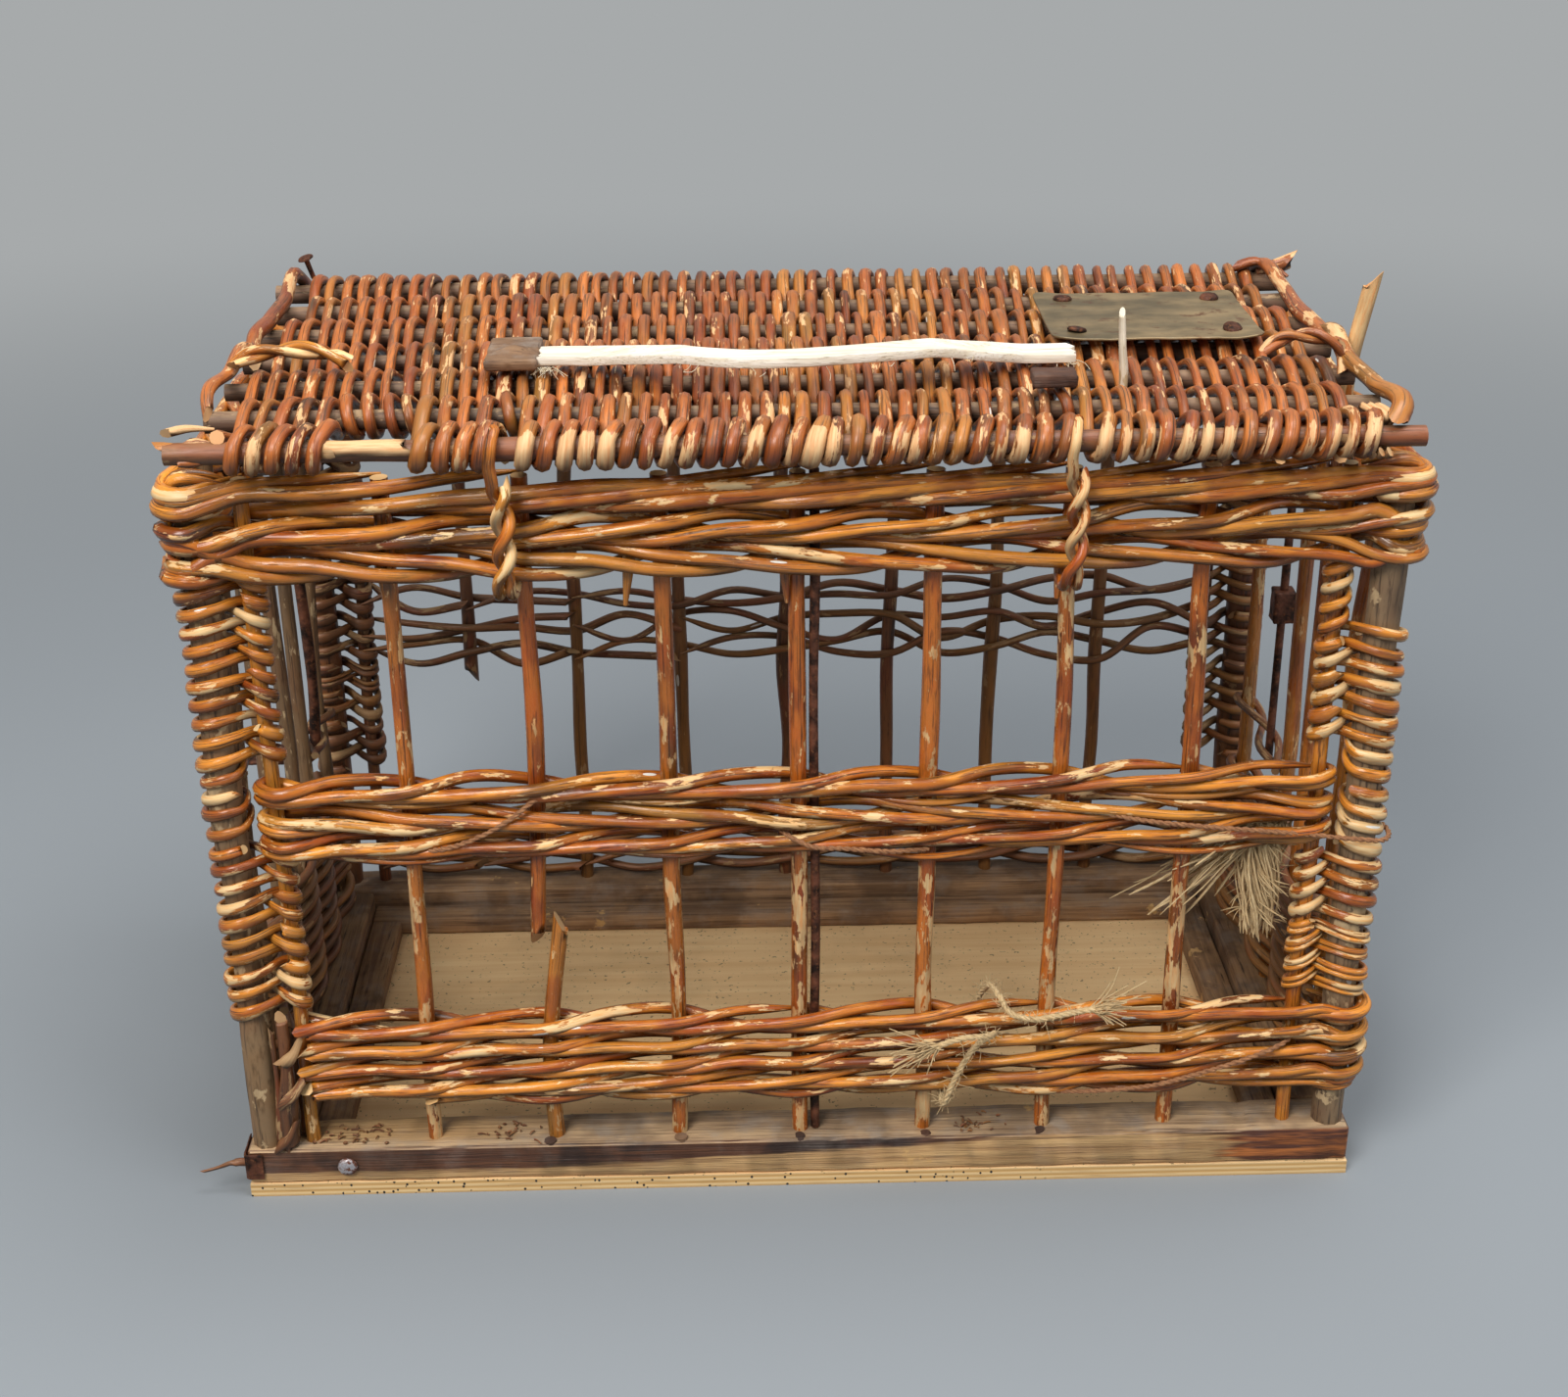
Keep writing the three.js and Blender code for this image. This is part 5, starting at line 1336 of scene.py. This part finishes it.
slat = box_between("handle_slat", (SLAT_LEFT, -10, -2.25), (SLAT_RIGHT, 10, 2.25))
slice_along(slat, 0, 4.0)
slice_along(slat, 1, 4.0)
bevel_edges(slat, 0.9)
for vert in slat.data.vertices:
    x, y, z = vert.co / MM
    bow = slat_bow(x)
    width = 1.0 - 0.12 * bow + 0.1 * noise.noise(Vector((x / 18, 0.0, 3.0)))
    ragged = noise.noise(Vector((y / 1.7, x / 9, 1.0))) * (1.2 if abs(z) > 2 else 2.0)
    if x > SLAT_RIGHT - 1 or x < SLAT_LEFT + 1:
        x += ragged * 2.2
    z += 0.25 * noise.noise(Vector((x / 30, y / 2.2, 7.0))) + 0.012 * y * y * (1 if z > 0 else 0.6) - 0.4
    vert.co = Vector((x, SLAT_Y - SLAT_SIDEWAYS * bow + y * width + 1.2 * math.sin(x / 31),
                      SLAT_Z + SLAT_LIFT * min(1.0, 1.6 * bow) + z + 0.9 * math.sin(x / 24))) * MM
smooth_up_to(35)
settle(slat, split_willow, "lid", ("carrying_strip",))
hairs = Rods()
for _ in range(46):
    x = dice.choice([dice.uniform(low, high) for low, high in (
        (SLAT_LEFT - 2, SLAT_LEFT + 8), (SLAT_RIGHT - 8, SLAT_RIGHT + 2),
        (SLAT_LEFT + 10, SLAT_RIGHT - 10))])
    bow = slat_bow(x)
    start = np.array([x, SLAT_Y - SLAT_SIDEWAYS * bow - 9.3, SLAT_Z + SLAT_LIFT * min(1, 1.6 * bow) - 1.4])
    way = np.array([dice.normal(0, 5), -dice.uniform(0.5, 4), -dice.uniform(1, 5)])
    hairs.add([start, start + way * 0.6 + dice.normal(0, 0.6, 3), start + way + dice.normal(0, 1.2, 3)],
              0.2, sides=4, step=3.0, side_way=(0.3, 0.3, 0.9))
hairs.make("slat_hairs", peeled_willow, "lid")

# %% Keeper and block
KNOT_X, KNOT_Y = -139.8, -64


def raise_knot(piece):
    """A knot in the keeper's top: a low hump with a shallow ring round it."""
    for vert in piece.data.vertices:
        x, y, z = vert.co / MM
        if z > 445:
            near = ((x - KNOT_X) / 10) ** 2 + ((y - KNOT_Y) / 8) ** 2
            vert.co.z += (3.4 * math.exp(-1.6 * near) - 0.9 * math.exp(-((near - 1.5) / 0.5) ** 2)) * MM


for name, low, high, edge, depth, scale, seed, finish, replaced in (
        ("slat_keeper", (-153.3, -80.7, 439.9), (-126.3, -36.7, 446.2), 1.4, 0.5, 90.0, 4.0,
         fitting_timber, "strip_keeper"),
        ("slat_block", (113.9, -122.8, 439.9), (135.9, -106.8, 446.9), 1.2, 0.6, 120.0, 9.0,
         dark_fitting, "strip_block")):
    block = box_between(name, low, high)
    slice_along(block, 0, 3.0)
    slice_along(block, 1, 3.0)
    bevel_edges(block, edge)
    if name == "slat_keeper":
        raise_knot(block)
    wear(block, depth, scale, seed)
    smooth_up_to(40)
    settle(block, finish, "lid", (replaced,))

# %% Plate and its nails
plate = box_between("metal_plate", (135, -40.4, 440.2), (245, 51.6, 441.4))
bpy.ops.object.mode_set(mode="EDIT")
bpy.ops.mesh.select_mode(type="EDGE")
bpy.ops.mesh.select_all(action="DESELECT")
edit = bmesh.from_edit_mesh(plate.data)
for edge_line in edit.edges:
    one, two = edge_line.verts
    edge_line.select_set(abs(one.co.z - two.co.z) > 0.001)
bmesh.update_edit_mesh(plate.data)
bpy.ops.mesh.bevel(offset=7 * MM, segments=6, affect="EDGES")
bpy.ops.object.mode_set(mode="OBJECT")
slice_along(plate, 0, 5.0)
slice_along(plate, 1, 5.0)
for vert in plate.data.vertices:
    x, y, z = vert.co / MM
    dent = (0.55 * noise.noise(Vector((x / 22, y / 22, 2.0)))
            + 0.22 * noise.noise(Vector((x / 7, y / 7, 5.0))))
    lift = 1.4 * max(0.0, (abs(x - 190) - 40) / 15) * max(0.0, (abs(y - 5.6) - 30) / 16)
    vert.co.z += (dent + lift) * MM
bevel_edges(plate, 0.3, 1)
smooth_up_to(40)
settle(plate, tarnished, "lid", ("owner_plate",))
drive((5.2, 2.0, 1.2, 9), rust, "lid",
      [(f"plate_nail_{k}", (x + dice.normal(0, 0.8), y + dice.normal(0, 0.8), 441.6),
        dice.normal(0, 0.12, 3), ())
       for k, (x, y) in enumerate(((150.0, -26.0), (230.0, -26.0), (150.0, 37.0), (230.0, 37.0)), 1)])
drive((4.5, 1.8, 1.5, 15), rust, "lid",
      [("corner_nail", (-274.5, 126.0, 448.0), (0.1, -0.28, 0.0), ("lid_corner_nail",))])

# %% The broken weaver that stands up
standing = Rods()
standing.add([(162.5, -94, 430), (162.2, -94, 441), (161, -94.4, 452), (160.4, -94, 462),
              (159.8, -94.3, 470.5)], [1.9, 2.1, 1.9, 2.2, 1.7], sides=9, step=2.0, rough=0.12,
             side_way=(1, 0, 0), tips=("cut", "slant"), peeled=[0.1, 0.2, 0.1, 0.8, 0.8])
standing.make("broken_weaver", peeled_willow, "lid", ("lid_broken_weaver",))

# %% [markdown]
# ## Floor, light and finish
# The basket stands on a plain pale floor under large soft lamps, so that the willow's gloss
# shows as broad pale lines and not as sparks. Away from the basket the floor fades to one
# flat pale tone, and the sky behind has that same tone, so no edge shows from any side. Only
# the eye sees that tone: the light on the basket comes from the lamps and a dim sky.

# %% Floor
BACKDROP, SKY, FLOOR_TONE = "#a7aaab", "#c8cbd0", "#8a9095"
FADE_FROM, FADE_TO = 0.7, 2.4


def seen_by_eye(net):
    """1 for the rays of the camera, of a gloss and through glass, and 0 for those of light."""
    path = net.put("LightPath")
    return net.calc("MAXIMUM", path["Is Camera Ray"], net.calc(
        "MAXIMUM", path["Is Glossy Ray"], path["Is Transmission Ray"]))


floor_paint, net = new_material("floor_paint")
surface = net.tree.nodes["Principled BSDF"]
net.give(surface.inputs["Base Color"], FLOOR_TONE)
net.give(surface.inputs["Roughness"], 0.85)
away = net.put("VectorMath", {0: net.here()}, operation="LENGTH")["Value"]
far = net.times(seen_by_eye(net), net.soft(away, FADE_FROM, FADE_TO))
plain = net.put("Emission", {"Color": BACKDROP, "Strength": 1.0})[0]
both = net.put("MixShader", {0: far, 1: surface.outputs[0], 2: plain})[0]
net.give(net.tree.nodes["Material Output"].inputs["Surface"], both)
bpy.ops.object.select_all(action="DESELECT")
bpy.ops.mesh.primitive_plane_add(size=60, location=(0, 0, 0))
floor = bpy.context.object
floor.name = "floor"
floor.data.materials.append(floor_paint)

# %% Lamps and sky
def lamp(name, place, size, power, target=(0, 0, 0.2), tone=(1, 1, 1)):
    data = bpy.data.lights.new(name, "AREA")
    data.shape, data.size, data.energy, data.color = "SQUARE", size, power, tone
    made = bpy.data.objects.new(name, data)
    made.location = place
    made.rotation_euler = (Vector(target) - Vector(place)).to_track_quat("-Z", "Y").to_euler()
    bpy.context.scene.collection.objects.link(made)


lamp("window", (-1.1, -1.9, 2.4), 1.3, 82, tone=(1.0, 0.98, 0.95))
lamp("ceiling", (0.5, -0.2, 2.8), 1.8, 60)
lamp("fill", (1.9, -1.4, 1.2), 1.4, 10, tone=(0.93, 0.96, 1.0))
world = bpy.data.worlds.new("room")
world.use_nodes = True
net = Net(world.node_tree)
sky = net.tree.nodes["Background"].inputs
seen = seen_by_eye(net)
net.give(sky["Color"], net.mix(seen, SKY, BACKDROP))
net.give(sky["Strength"], net.spread(seen, 0, 1, 0.25, 1.0))
bpy.context.scene.world = world
